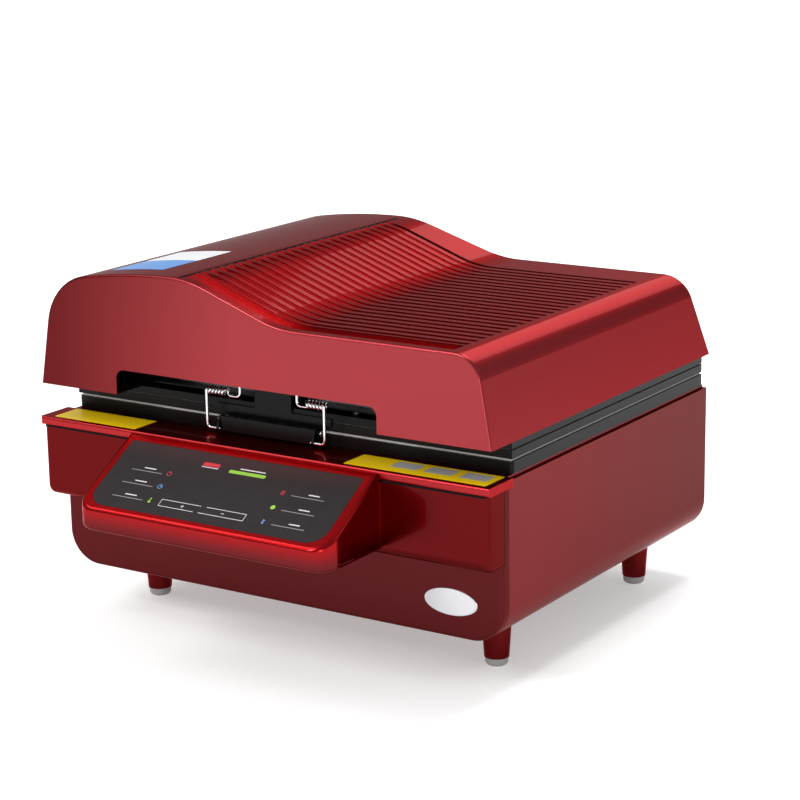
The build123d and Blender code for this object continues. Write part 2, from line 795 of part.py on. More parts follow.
# ---------------------------------------------------------------- works under the tray
floor_z = cabinet_z + sheet
pump_r = 34.0
pump_motor_length = 110.0
pump_head_length = 70.0
pump_head_width = 84.0
pump_head_height = 92.0
pump_nipple = 12.0
pump_plate = 4.0
pump_plate_over = 8.0    # plate beyond both ends of the pump
pump_plate_side = 6.0    # plate beyond both sides of its head
pump_mount_height = 4.0
pump_mount_r = 9.0
pump_mount_in = 13.0     # rubber mounts inside the plate's edges
cradle_width = 30.0
cradle_in = 8.0          # motor's depth in its cradle
cradle_end = 10.0
hose_bend_r = 30.0
hose_straight = 5.0
pump_x = hose_x - hose_bend_r - hose_straight - pump_head_length / 2 - pump_nipple
pump_mid = pump_x - pump_motor_length / 2
pump_plate_z = floor_z + pump_mount_height
pump_base_z = pump_plate_z + pump_plate
pump_z = pump_base_z + pump_head_height / 2
plate_length = pump_motor_length + pump_head_length + 2 * pump_plate_over
plate_width = pump_head_width + 2 * pump_plate_side
with BuildPart() as vacuum_pump:
    with BuildSketch(Plane.XY.offset(pump_plate_z)):
        with Locations((pump_mid, hose_y)):
            Rectangle(plate_length, plate_width)
    extrude(amount=pump_plate)
    with Locations((pump_x, hose_y, pump_z)):
        Box(pump_head_length, pump_head_width, pump_head_height)
    with BuildSketch(side_plane(pump_x - pump_head_length / 2)):
        with Locations((hose_y, pump_z)):
            Circle(pump_r)
    extrude(amount=-pump_motor_length)
    with BuildSketch(side_plane(pump_x + pump_head_length / 2)):
        with Locations((hose_y, pump_z)):
            Circle(nipple_r)
            Circle(nipple_bore_r, mode=Mode.SUBTRACT)
    extrude(amount=pump_nipple)
    with BuildSketch(Plane.XY.offset(pump_base_z)):
        with Locations((pump_x - pump_head_length / 2 - pump_motor_length / 2, hose_y)):
            Rectangle(pump_motor_length - 2 * cradle_end, cradle_width)
    extrude(amount=pump_head_height / 2 - pump_r + cradle_in)
finish(vacuum_pump.part, "vacuum_pump")

with BuildPart() as pump_mounts:
    with BuildSketch(Plane.XY.offset(floor_z)):
        with Locations((pump_mid, hose_y)):
            with GridLocations(plate_length - 2 * pump_mount_in, plate_width - 2 * pump_mount_in, 2, 2):
                Circle(pump_mount_r)
    extrude(amount=pump_mount_height)
finish(pump_mounts.part, "pump_mounts")

hose_start = pump_x + pump_head_length / 2 + pump_nipple
hose_top = pan_floor - nipple_length
with BuildPart() as vacuum_hose:
    with BuildLine(front_plane(hose_y)) as hose_route:
        Line((hose_start, pump_z), (hose_x - hose_bend_r, pump_z))
        JernArc((hose_x - hose_bend_r, pump_z), (1, 0), hose_bend_r, 90)
        Line((hose_x, pump_z + hose_bend_r), (hose_x, hose_top))
    with BuildSketch(side_plane(hose_start)):
        with Locations((hose_y, pump_z)):
            Circle(nipple_r)
            Circle(nipple_bore_r, mode=Mode.SUBTRACT)
    sweep(path=hose_route.line)
finish(vacuum_hose.part, "vacuum_hose")

valve_side = 26.0
solenoid_r = 10.0
solenoid_length = 34.0
valve_z = hose_top - valve_side / 2
with BuildPart() as vent_valve:
    with Locations((valve_x, valve_y, valve_z)):
        Box(valve_side, valve_side, valve_side)
    with BuildSketch(side_plane(valve_x + valve_side / 2)):
        with Locations((valve_y, valve_z)):
            Circle(solenoid_r)
    extrude(amount=solenoid_length)
finish(vent_valve.part, "vent_valve")

power_in = 125.2         # power board's middle inside the cabinet's right side
power_back = 95.0        # and behind the wrapped sheet's front edge
power_length = 160.0
power_width = 110.0
standoff = 8.0
standoff_r = 4.0
standoff_in = 7.0
coil_length = 44.0       # transformer
coil_width = 38.0
coil_height = 36.0
sink_length = 50.0       # heat sink
sink_width = 22.0
sink_height = 40.0
can_r = 9.0              # capacitors
can_height = 30.0
can_pitch = 24.0
can_count = 3
power_x = half_cabinet - power_in
power_y = shell_y + power_back
power_z = floor_z + standoff + board_sheet
with BuildPart() as power_board:
    with BuildSketch(Plane.XY.offset(floor_z + standoff)):
        with Locations((power_x, power_y)):
            Rectangle(power_length, power_width)
    extrude(amount=board_sheet)
    with BuildSketch(Plane.XY.offset(floor_z)):
        with Locations((power_x, power_y)):
            with GridLocations(power_length - 2 * standoff_in, power_width - 2 * standoff_in, 2, 2):
                Circle(standoff_r)
    extrude(amount=standoff)
    with Locations((power_x - coil_length, power_y, power_z + coil_height / 2)):
        Box(coil_length, coil_width, coil_height)
    with Locations((power_x + sink_length, power_y + sink_width, power_z + sink_height / 2)):
        Box(sink_length, sink_width, sink_height)
    with BuildSketch(Plane.XY.offset(power_z)):
        with Locations((power_x, power_y - can_pitch - can_r)):
            with GridLocations(can_pitch, can_pitch, can_count, 1):
                Circle(can_r)
    extrude(amount=can_height)
finish(power_board.part, "power_board")

# ---------------------------------------------------------------- membrane frame
def frame_ring(width, length, margin):
    """Rectangular ring over the tray rim."""
    tray_rectangle(width, length)
    with Locations((0, tray_mid)):
        Rectangle(width - 2 * margin, length - 2 * margin, mode=Mode.SUBTRACT)


with BuildPart() as membrane_frame:
    with BuildSketch(Plane.XY.offset(frame_z)):
        frame_ring(tray_width, tray_length, frame_margin)
    extrude(amount=frame_ring_height)
    fillet(membrane_frame.edges().filter_by(Axis.Z).group_by(SortBy.DISTANCE)[-1], tray_corner_r)
finish(membrane_frame.part, "membrane_frame")

with BuildPart() as silicone_membrane:
    with BuildSketch(Plane.XY.offset(membrane_z)):
        tray_rectangle(tray_width - 2 * membrane_inset, tray_length - 2 * membrane_inset)
    extrude(amount=membrane_sheet)
finish(silicone_membrane.part, "silicone_membrane")

with BuildPart() as clamp_ring:
    with BuildSketch(Plane.XY.offset(clamp_z)):
        frame_ring(tray_width, tray_length, frame_margin)
    extrude(amount=clamp_height)
    fillet(clamp_ring.edges().filter_by(Axis.Z).group_by(SortBy.DISTANCE)[-1], tray_corner_r)
finish(clamp_ring.part, "clamp_ring")

screw_head_r = 4.0
screw_head = 1.6
screw_edge = 0.6
screw_end = 32.5         # outer screws inside the frame's sides
screw_pitch = (tray_width - 2 * screw_end) / 3
clamp_screw_places = [
    (x, y)
    for y in (tray_front + frame_margin / 2, tray_back - frame_margin / 2)
    for x in (-3 * screw_pitch / 2, -screw_pitch / 2, screw_pitch / 2, 3 * screw_pitch / 2)
] + [(side * (tray_width - frame_margin) / 2, tray_mid) for side in (-1, 1)]
with BuildPart() as clamp_screws:
    with BuildSketch(Plane.XY.offset(frame_top)):
        with Locations(*clamp_screw_places):
            Circle(screw_head_r)
    extrude(amount=screw_head)
    chamfer(clamp_screws.edges().group_by(Axis.Z)[-1], screw_edge)
finish(clamp_screws.part, "clamp_screws")

# ---------------------------------------------------------------- hinges
hinge_side = 100.0       # middle of each hinge inside the hood's side
hinge_x = half_width - hinge_side
hinge_pin_r = 2.5
knuckle = 20.0
knuckle_gap = 0.4
leaf = 2.5
leaf_drop = 40.0         # bracket's leaf, its middle under the hinge's axis
leaf_height = 30.0
web_low = 12.0           # bracket's web where it meets the leaf, under the axis
web_high = 4.0
web_in = 0.5             # webs' corners inside the barrel
web_step = 5.0
strap = 2.0              # hood's hinge strap under its base plate
strap_length = 34.0
strap_in = 12.0          # strap's middle inside the tray's back
strap_out = 1.5          # strap's end behind the tray
strap_short = 10.0       # strap's side inside the hinge's


def knuckle_spans(first, count):
    """Start and end, from the hinge's middle, of knuckles in a row."""
    start = -2 * knuckle + first * knuckle
    return start + knuckle_gap / 2, start + count * knuckle - knuckle_gap / 2


def hinge_piece(spans, corners):
    """Knuckles with their web: corners is the web's outline beside the barrel."""
    with BuildPart() as piece:
        for side in (-1, 1):
            for start, end in spans:
                low = side * hinge_x + min(side * start, side * end)
                with BuildSketch(side_plane(low)):
                    with BuildLine():
                        Polyline(*corners, close=True)
                    make_face()
                    with Locations((hinge_y, hinge_z)):
                        Circle(hinge_r)
                        Circle(hinge_pin_r + run_gap, mode=Mode.SUBTRACT)
                extrude(amount=end - start)
    return piece.part


bracket_y = back_y + leaf
with BuildPart() as hinge_brackets:
    add(hinge_piece(
        [knuckle_spans(0, 1), knuckle_spans(3, 1)],
        [
            (back_y, hinge_z - leaf_drop),
            (bracket_y, hinge_z - leaf_drop),
            (bracket_y, hinge_z - web_low),
            (hinge_y + web_in, hinge_z - hinge_r + web_in),
            (hinge_y - hinge_r + web_in, hinge_z),
            (back_y, hinge_z - web_high),
        ],
    ))
    with BuildSketch(front_plane(back_y)):
        with Locations(*[(side * hinge_x, hinge_z - leaf_drop) for side in (-1, 1)]):
            Rectangle(4 * knuckle - knuckle_gap, leaf_height)
    extrude(amount=-leaf)
finish(hinge_brackets.part, "hinge_brackets")

pin_head = 2.0
pin_half = 2 * knuckle + pin_head
with BuildPart() as hinge_pins:
    for side in (-1, 1):
        with BuildSketch(side_plane(side * hinge_x - pin_half)):
            with Locations((hinge_y, hinge_z)):
                Circle(hinge_pin_r)
        extrude(amount=2 * pin_half)
        for end in (-1, 1):
            start = side * hinge_x + end * 2 * knuckle
            with BuildSketch(side_plane(start)):
                with Locations((hinge_y, hinge_z)):
                    Circle(2 * hinge_pin_r)
            extrude(amount=end * pin_head)
finish(hinge_pins.part, "hinge_pins")

with BuildPart() as frame_hinges:
    add(hinge_piece(
        [knuckle_spans(1, 1)],
        [
            (tray_back, frame_z + knuckle_gap),
            (hinge_y - hinge_r / 2, hinge_z - web_step),
            (hinge_y, hinge_z + hinge_r),
            (tray_back, frame_z + frame_ring_height),
        ],
    ))
finish(frame_hinges.part, "frame_hinges")

hood_leaf_y = tray_back + strap_out
with BuildPart() as hood_hinges:
    add(hinge_piece(
        [knuckle_spans(2, 1)],
        [
            (hood_leaf_y, hood_z - strap),
            (hood_leaf_y + web_in, frame_top - web_high),
            (hinge_y - hinge_r + web_in, hinge_z),
            (hinge_y + hinge_r - web_in, hinge_z),
            (hinge_y + strap, hood_z - strap),
            (hinge_y - strap, hood_z),
            (hood_leaf_y, hood_z),
        ],
    ))
    for side in (-1, 1):
        with BuildSketch(Plane.XY.offset(hood_z - strap)):
            with Locations((side * hinge_x, tray_back - strap_in)):
                Rectangle(4 * knuckle - 2 * strap_short, strap_length)
        extrude(amount=strap)
finish(hood_hinges.part, "hood_hinges")

# ---------------------------------------------------------------- hood
lean_angle = degrees(atan2(hood_lean, 1))
rib_drop = 6.0           # the cavity follows the outline this far below it
cut_over = 2.0           # cuts run this far past what they cut
base_in = 2.0            # base plate's seat inside the hood's wall
base_room = hood_wall + base_in
notch_cut = hood_wall + 2 * cut_over
crease_drop = 0.25       # grooves' floor under the crown at the crease
rib_ramp = 16.0          # ramp at the grooves' low end
rib_over = 9.0


def hood_outline(drop):
    """S-shaped section of the hood, with its crown and low side lowered by drop."""
    crown = hood_z + hood_crown - drop
    low = hood_z + hood_low - drop
    shoulder = (-half_width + hood_lean * hood_shoulder_h, hood_z + hood_shoulder_h)
    fall = radians(hood_fall_angle)
    step = hood_fall_r * (1 - cos(fall))
    slope_run = (crown - low - 2 * step) / tan(fall)
    right_x = half_width - hood_lean * (hood_low - drop)
    right_run = hood_right_r * tan(radians(90 - lean_angle) / 2)
    with BuildLine() as outline:
        Line((-half_width, hood_z), shoulder)
        rise = crown - shoulder[1]
        turn = JernArc(
            shoulder,
            (hood_lean, 1),
            hood_shoulder_r * rise / (hood_crown - hood_shoulder_h),
            -(hood_shoulder_turn - lean_angle),
        )
        ThreePointArc(
            turn @ 1,
            (
                (turn @ 1).X * (1 - crown_share) + hood_crown_x * crown_share,
                crown - (crown - (turn @ 1).Y) * (1 - crown_share) ** 2,
            ),
            (hood_crown_x, crown),
        )
        bend = JernArc((hood_crown_x, crown), (1, 0), hood_fall_r, -hood_fall_angle)
        foot = (
            (bend @ 1).X + slope_run,
            low + step,
        )
        Line(bend @ 1, foot)
        flat = JernArc(foot, (cos(fall), -sin(fall)), hood_fall_r, hood_fall_angle)
        Line(flat @ 1, (right_x - right_run, low))
        corner = JernArc((right_x - right_run, low), (1, 0), hood_right_r, -(90 - lean_angle))
        Line(corner @ 1, (half_width, hood_z))
        Line((half_width, hood_z), (-half_width, hood_z))
    return outline.line


def hood_side(inset):
    """Side section of the hood: upright front and a back that leans forward."""
    slope = hood_back_lean / hood_crown
    shift = inset * sqrt(1 + slope * slope)
    top = hood_crown + cut_over
    with BuildLine() as outline:
        Polyline(
            (hood_front + inset, hood_z),
            (hood_back - shift, hood_z),
            (hood_back - shift - slope * top, hood_z + top),
            (hood_front + inset, hood_z + top),
            close=True,
        )
    return outline.line


with BuildPart() as hood_cavity:
    with BuildSketch(front_plane(hood_front)):
        add(hood_outline(rib_drop))
        make_face()
        offset(amount=-hood_wall, kind=Kind.INTERSECTION)
    extrude(amount=-hood_length)
    with BuildSketch(side_plane(0)):
        add(hood_side(hood_wall))
        make_face()
    extrude(amount=half_width, both=True, mode=Mode.INTERSECT)

# Grooves between the ribs: their floor leaves the surface at the crease and runs level below it
crease_z = hood_z + hood_crown - crease_drop
groove_fall = radians(hood_fall_angle)
groove_low = hood_z + hood_low - rib_depth
groove_rise = groove_low + rib_depth + cut_over / 2
groove_step = hood_fall_r * (1 - cos(groove_fall))
groove_foot_x = crease_x + (crease_z - groove_low - groove_step) / tan(groove_fall)
groove_end = half_width - rib_end_in
with BuildLine(Plane.XY) as groove_line:
    Line((crease_x, crease_z), (groove_foot_x, groove_low + groove_step))
    groove_arc = JernArc(
        (groove_foot_x, groove_low + groove_step),
        (cos(groove_fall), -sin(groove_fall)),
        hood_fall_r,
        hood_fall_angle,
    )
    Line(groove_arc @ 1, (groove_end - rib_ramp, groove_low))
    Line((groove_end - rib_ramp, groove_low), (groove_end, groove_rise))
    Line((groove_end, groove_rise), (groove_end, crease_z + rib_over))
    Line((groove_end, crease_z + rib_over), (crease_x, crease_z + rib_over))
    Line((crease_x, crease_z + rib_over), (crease_x, crease_z))

groove_spans = [(hood_front + lens_front, rib_front - lens_front - rib_groove / 2)] + [
    (hood_front + rib_front + number * rib_pitch, rib_groove) for number in range(rib_count)
]
with BuildPart() as hood_shell:
    with BuildSketch(front_plane(hood_front)):
        add(hood_outline(0))
        make_face()
    extrude(amount=-hood_length)
    with BuildSketch(side_plane(0)):
        add(hood_side(0))
        make_face()
    extrude(amount=half_width, both=True, mode=Mode.INTERSECT)
    front_rim = hood_shell.faces().sort_by(Axis.Y)[0].edges().sort_by(Axis.Z)[1:]
    fillet(front_rim, hood_edge_r)
    add(hood_cavity.part, mode=Mode.SUBTRACT)
    with BuildSketch(Plane.XY.offset(hood_z)):
        with Locations((0, (hood_front + hood_back) / 2)):
            Rectangle(machine_width - 2 * base_room, hood_length - 2 * base_room)
    extrude(amount=hood_wall + cut_over / 2, mode=Mode.SUBTRACT)
    with BuildSketch(front_plane(hood_front - cut_over)):
        with Locations(((notch_left + notch_right) / 2, hood_z)):
            RectangleRounded(notch_right - notch_left, 2 * notch_height, notch_r)
    extrude(amount=-(cut_over + notch_cut), mode=Mode.SUBTRACT)
    for start, width in groove_spans:
        with BuildSketch(front_plane(start)):
            add(groove_line.line)
            make_face()
        extrude(amount=-width, mode=Mode.SUBTRACT)
finish(hood_shell.part, "hood_shell")

# ---------------------------------------------------------------- heating chamber
chamber_y = hood_front + chamber_front
chamber_mid = chamber_y + chamber_length / 2
chamber_z = hood_z + base_sheet
chamber_top = chamber_z + chamber_height
motor_hole_r = 8.0
notch_room = 62.0        # base plate's cut-out behind the notch
fan_place = (fan_x, chamber_mid)

with BuildPart() as hood_base:
    with BuildSketch(Plane.XY.offset(hood_z)):
        with Locations((0, (hood_front + hood_back) / 2)):
            Rectangle(
                machine_width - 2 * (base_room + fit_gap),
                hood_length - 2 * (base_room + fit_gap),
            )
        with Locations((0, chamber_mid)):
            Rectangle(
                chamber_width - 2 * chamber_sheet,
                chamber_length - 2 * chamber_sheet,
                mode=Mode.SUBTRACT,
            )
        with Locations(((notch_left + notch_right) / 2, hood_front)):
            Rectangle(notch_right - notch_left, 2 * notch_room, mode=Mode.SUBTRACT)
    extrude(amount=base_sheet)
finish(hood_base.part, "hood_base")

with BuildPart() as heater_box:
    with Locations((0, chamber_mid, chamber_z)):
        Box(
            chamber_width,
            chamber_length,
            chamber_height,
            align=(Align.CENTER, Align.CENTER, Align.MIN),
        )
    offset(amount=-chamber_sheet, openings=heater_box.faces().sort_by(Axis.Z)[0])
    with BuildSketch(Plane.XY.offset(chamber_top - 2 * chamber_sheet)):
        with Locations(fan_place):
            Circle(motor_hole_r)
    extrude(amount=3 * chamber_sheet, mode=Mode.SUBTRACT)
finish(heater_box.part, "heater_box")

block_side = 20.0
block_corner_r = 3.0
heater_z = hood_z + heater_height
heater_pitch = chamber_length / (heater_count + 0.5)
heater_places = [
    chamber_mid + (number - (heater_count - 1) / 2) * heater_pitch for number in range(heater_count)
]
block_face = chamber_width / 2 - chamber_sheet - heater_block
with BuildPart() as heater_tubes:
    with BuildSketch(side_plane(-block_face)):
        with Locations(*[(y, heater_z) for y in heater_places]):
            Circle(heater_d / 2)
    extrude(amount=2 * block_face)
finish(heater_tubes.part, "heater_tubes")

with BuildPart() as heater_blocks:
    for side in (-1, 1):
        with BuildSketch(side_plane(side * block_face)):
            with Locations(*[(y, heater_z) for y in heater_places]):
                RectangleRounded(block_side, block_side, block_corner_r)
        extrude(amount=side * heater_block)
finish(heater_blocks.part, "heater_blocks")

lagging = 3.5
lagging_side = 5.0       # lagging inside the chamber's edges
lagging_end = 15.0
lagging_gap = 2.0        # around the motor
motor_edge = 3.0
with BuildPart() as chamber_lagging:
    with BuildSketch(Plane.XY.offset(chamber_top)):
        with Locations((0, chamber_mid)):
            Rectangle(chamber_width - 2 * lagging_side, chamber_length - 2 * lagging_end)
        with Locations(fan_place):
            Circle(motor_r + lagging_gap, mode=Mode.SUBTRACT)
    extrude(amount=lagging)
finish(chamber_lagging.part, "chamber_lagging")

with BuildPart() as fan_motor:
    with BuildSketch(Plane.XY.offset(chamber_top)):
        with Locations(fan_place):
            Circle(motor_r)
    extrude(amount=motor_height)
    chamfer(fan_motor.edges().group_by(Axis.Z)[-1], motor_edge)
    with BuildSketch(Plane.XY.offset(chamber_top)):
        with Locations(fan_place):
            Circle(fan_shaft_d / 2 + run_gap)
    extrude(amount=motor_bore, mode=Mode.SUBTRACT)
finish(fan_motor.part, "fan_motor")

fan_blades = 8
fan_plate = 1.5
fan_hub = 9.0            # radius of the circulation fan's hub
fan_vane_turn = 35.0     # degrees
fan_vane_share = 0.62    # vanes' length and middle, as a share of the fan's radius
fan_z = chamber_top - chamber_sheet - fan_clear - fan_height
with BuildPart() as circulation_fan:
    with BuildSketch(Plane.XY.offset(fan_z + fan_height - fan_plate)):
        with Locations(fan_place):
            Circle(fan_r)
    extrude(amount=fan_plate)
    with BuildSketch(Plane.XY.offset(fan_z)):
        with Locations(fan_place):
            Circle(fan_hub)
            with PolarLocations(fan_r * fan_vane_share, fan_blades):
                with Locations(Location((0, 0), fan_vane_turn)):
                    Rectangle(fan_r * fan_vane_share, fan_plate)
    extrude(amount=fan_height - fan_plate)
    with BuildSketch(Plane.XY.offset(fan_z + fan_height)):
        with Locations(fan_place):
            Circle(fan_shaft_d / 2)
    extrude(amount=fan_clear + motor_bore)
finish(circulation_fan.part, "circulation_fan")

probe_r = 2.5
probe_length = 46.0
probe_nut_r = 6.0
probe_drop = 16.0        # probe under the chamber's roof
with BuildPart() as temperature_probe:
    probe_x = chamber_width / 2 - chamber_sheet
    with BuildSketch(side_plane(probe_x)):
        with Locations((chamber_mid, chamber_top - probe_drop)):
            Circle(probe_r)
    extrude(amount=-probe_length)
    with BuildSketch(side_plane(probe_x)):
        with Locations((chamber_mid, chamber_top - probe_drop)):
            RegularPolygon(probe_nut_r, 6)
    extrude(amount=-probe_nut_r)
finish(temperature_probe.part, "temperature_probe")

# ---------------------------------------------------------------- latch
lever_y = tray_front - lever_pivot_out
lever_z = tray_top + lever_pivot_up
bail_y = tray_front - bail_pivot_out
bail_z = tray_top - bail_pivot_drop
lever_crown = 5.0        # lever's top above its pivot
lever_reach = 7.0        # lever's front ahead of its pivot
lever_lip = 4.0          # folds along the lever's top and bottom
lever_fold = 6.0
lever_top = lever_z + lever_crown
lever_front = lever_y - lever_reach
lever_low = lever_top - lever_height
cheek_x = lever_width / 2
ear_r = 3.8
ear_lean = 1.0
cheek_back = 5.0
lever_pin_r = lever_pin_d / 2
wire_r = bail_wire_d / 2


def lever_cheek():
    """End cheek of the lever, from its pivot down to the wire's ear."""
    with BuildLine() as outline:
        Polyline(
            (lever_front, lever_top),
            (lever_y, lever_top),
            (lever_y + cheek_back, lever_z),
            (lever_y + ear_lean, lever_z - cheek_back),
            (bail_y + ear_r, bail_z - ear_lean),
            (bail_y, bail_z - ear_r),
            (bail_y - ear_r, bail_z),
            (bail_y - ear_lean, bail_z + ear_r),
            close=True,
        )
    return outline.line


with BuildPart() as latch_lever:
    for side in (-1, 1):
        with BuildSketch(side_plane(latch_x + side * cheek_x)):
            add(lever_cheek())
            make_face()
            with Locations((lever_y, lever_z)):
                Circle(lever_pin_r + run_gap, mode=Mode.SUBTRACT)
            with Locations((bail_y, bail_z)):
                Circle(wire_r + run_gap, mode=Mode.SUBTRACT)
        extrude(amount=-side * lever_sheet)
    with BuildSketch(side_plane(latch_x)):
        with BuildLine():
            Polyline(
                (lever_front + lever_lip, lever_top),
                (lever_front, lever_top),
                (lever_front, lever_low),
                (lever_front + lever_fold, lever_low),
                (lever_front + lever_fold, lever_low + lever_sheet),
                (lever_front + lever_sheet, lever_low + lever_sheet),
                (lever_front + lever_sheet, lever_top - lever_sheet),
                (lever_front + lever_lip, lever_top - lever_sheet),
                close=True,
            )
        make_face()
    extrude(amount=cheek_x - lever_sheet / 2, both=True)
finish(latch_lever.part, "latch_lever")

bracket_gap = 0.6
bracket_eye_r = 4.0
bracket_high = 1.0       # bracket's foot on the tray's rim, under the rim's top
bracket_low = 10.0
rivet_head = 1.2
rivet_seat = 0.1
rivet_end = 0.6          # rivet's end beyond the lever's cheek
bracket_in = cheek_x + bracket_gap
with BuildPart() as latch_brackets:
    for side in (-1, 1):
        with BuildSketch(side_plane(latch_x + side * bracket_in)):
            with BuildLine():
                Polyline(
                    (tray_front, tray_top - bracket_high),
                    (tray_front, tray_top - bracket_low),
                    (lever_y - bracket_eye_r / 2, lever_z - bracket_eye_r / 2),
                    (lever_y, lever_z + bracket_eye_r),
                    (lever_y + bracket_eye_r / 2, lever_z + bracket_eye_r / 2),
                    close=True,
                )
            make_face()
            with Locations((lever_y, lever_z)):
                Circle(bracket_eye_r)
                Circle(lever_pin_r + run_gap, mode=Mode.SUBTRACT)
        extrude(amount=side * lever_sheet)
finish(latch_brackets.part, "latch_brackets")

with BuildPart() as lever_pins:
    for side in (-1, 1):
        outer = bracket_in + lever_sheet
        with BuildSketch(side_plane(latch_x + side * (outer + rivet_head))):
            with Locations((lever_y, lever_z)):
                Circle(lever_pin_r)
        extrude(amount=-side * (rivet_head + 2 * lever_sheet + bracket_gap + rivet_end))
        with BuildSketch(side_plane(latch_x + side * (outer + rivet_seat))):
            with Locations((lever_y, lever_z)):
                Circle(lever_pin_r + rivet_head)
        extrude(amount=side * rivet_head)
finish(lever_pins.part, "lever_pins")

# Catch on the membrane frame: a bar across the front and a hooked plate above it
coil_y = bail_y + bail_coil_r
coil_z = bail_z + bail_coil_up
loop_y = coil_y + bail_coil_r
loop_z = coil_z + bail_loop_up
lip_y = loop_y + wire_r + catch_gap
catch_bar_drop = 5.0     # catch bar's underside under the clamp ring
catch_bar_z = clamp_z - catch_bar_drop
with BuildPart() as latch_catch:
    with BuildSketch(front_plane(tray_front - catch_sheet)):
        with Locations((latch_x, catch_bar_z + catch_bar_height / 2)):
            Rectangle(catch_bar_width, catch_bar_height)
    extrude(amount=-catch_sheet)
    with BuildSketch(side_plane(latch_x)):
        with BuildLine():
            Polyline(
                (tray_front, catch_bar_z + catch_sheet),
                (tray_front - catch_sheet, catch_bar_z + catch_sheet),
                (tray_front - catch_sheet, loop_z - catch_hook),
                (lip_y, loop_z - catch_hook),
                (lip_y, loop_z + catch_over),
                (lip_y + catch_sheet, loop_z + catch_over),
                (lip_y + catch_sheet, loop_z - catch_hook + catch_sheet),
                (tray_front, loop_z - catch_hook + catch_sheet),
                close=True,
            )
        make_face()
    extrude(amount=catch_width / 2, both=True)
finish(latch_catch.part, "latch_catch")

# Wire bail: pins, arms, coils and loop, one unbroken wire
def biarc(start, start_way, end, end_way):
    """Two arcs that leave start along start_way and reach end along end_way."""
    chord = end - start
    ways = start_way + end_way
    a = 2 * (1 - start_way.dot(end_way))
    b = 2 * chord.dot(ways)
    reach = (-b + sqrt(b * b + 4 * a * chord.dot(chord))) / (2 * a)
    first = start + start_way * reach
    last = end - end_way * reach
    middle = (first + last) * 0.5
    TangentArc(start, middle, tangent=start_way)
    TangentArc(middle, end, tangent=(last - first).normalized())


def coil_point(side, turn):
    """Centre of the wire after a number of turns of the coil on one side."""
    angle = 2 * pi * turn
    return Vector(
        latch_x + side * (bail_span / 2 - bail_pitch * turn),
        coil_y - bail_coil_r * cos(angle),
        coil_z + bail_coil_r * sin(angle),
    )


def coil_way(side, turn):
    """Direction of the wire there; its two ends run straight up and straight down."""
    if turn == 0:
        return Vector(0, 0, 1)
    if turn == bail_turns + 0.5:
        return Vector(0, 0, -1)
    angle = 2 * pi * turn
    around = 2 * pi * bail_coil_r
    return Vector(-side * bail_pitch, around * sin(angle), around * cos(angle)).normalized()


def bail_half(side):
    """Half of the bail's centre line, from the pin's end to the middle of the loop."""
    arm_x = latch_x + side * bail_span / 2
    pin_x = latch_x + side * (cheek_x - lever_sheet - bail_pin_in)
    corner_x = arm_x - side * bail_bend_r
    Line((pin_x, bail_y, bail_z), (corner_x, bail_y, bail_z))
    TangentArc(
        (corner_x, bail_y, bail_z), (arm_x, bail_y, bail_z + bail_bend_r), tangent=(side, 0, 0)
    )
    Line((arm_x, bail_y, bail_z + bail_bend_r), (arm_x, bail_y, coil_z))
    for step in range(2 * bail_turns + 1):
        turn = step / 2
        biarc(
            coil_point(side, turn),
            coil_way(side, turn),
            coil_point(side, turn + 0.5),
            coil_way(side, turn + 0.5),
        )
    leave = coil_point(side, bail_turns + 0.5)
    leg_x = latch_x + side * bail_loop_width / 2
    low_z = coil_z - bail_bend_r
    TangentArc(leave, (leave.X - side * bail_bend_r, loop_y, low_z), tangent=(0, 0, -1))
    Line((leave.X - side * bail_bend_r, loop_y, low_z), (leg_x + side * bail_bend_r, loop_y, low_z))
    TangentArc(
        (leg_x + side * bail_bend_r, loop_y, low_z),
        (leg_x, loop_y, coil_z),
        tangent=(-side, 0, 0),
    )
    Line((leg_x, loop_y, coil_z), (leg_x, loop_y, loop_z - bail_bend_r))
    TangentArc(
        (leg_x, loop_y, loop_z - bail_bend_r),
        (leg_x - side * bail_bend_r, loop_y, loop_z),
        tangent=(0, 0, 1),
    )
    Line((leg_x - side * bail_bend_r, loop_y, loop_z), (latch_x, loop_y, loop_z))


def points_along(wire, spacing):
    """Points on a wire's centre line, evenly spaced."""
    return [
        tuple(wire.position_at(number * spacing, position_mode=PositionMode.LENGTH))
        for number in range(int(wire.length / spacing) + 1)
    ]


bail_routes = []
with BuildPart() as latch_bail:
    for side in (-1, 1):
        with BuildLine() as bail_route:
            bail_half(side)
        bail_routes.append(bail_route.wire())
        pin_end = Vector(latch_x + side * (cheek_x - lever_sheet - bail_pin_in), bail_y, bail_z)
        with BuildSketch(Plane(origin=pin_end, z_dir=(side, 0, 0))):
            Circle(wire_r)
        sweep(path=bail_route.line)
finish(latch_bail.part, "latch_bail")

# The bail's turns stay clear of each other: points half a turn or more apart along the wire
sample = wire_r / 2
left_points, right_points = [points_along(route, sample) for route in bail_routes]
bail_points = left_points + right_points[::-1]
half_turn = int(pi * bail_coil_r / sample)
bail_gap = min(
    dist(point, other)
    for number, point in enumerate(bail_points)
    for other in bail_points[number + half_turn:]
) - bail_wire_d
bail_length = sum(route.length for route in bail_routes)
print(f"bail: least gap to itself {bail_gap:.2f} mm")
tube_volume = pi * wire_r ** 2 * bail_length
print(f"bail: volume {latch_bail.part.volume:.1f}, section by length {tube_volume:.1f} mm3")
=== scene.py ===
# %% [markdown]
# # A bench-top vacuum press, dressed
#
# The model comes in as a fixed frame: every node is a real piece at its real size. What is left is
# how it looks. Red metallic lacquer, black coated aluminium, milky silicone and bent spring wire
# each get a finish of their own, and the small things that a maker would print, stamp or punch are
# modelled on top. Everything is in metres, +Z up, with the machine standing on z = 0.

# %% Load the frame
import json
import math

import bpy
from mathutils import Matrix, Vector


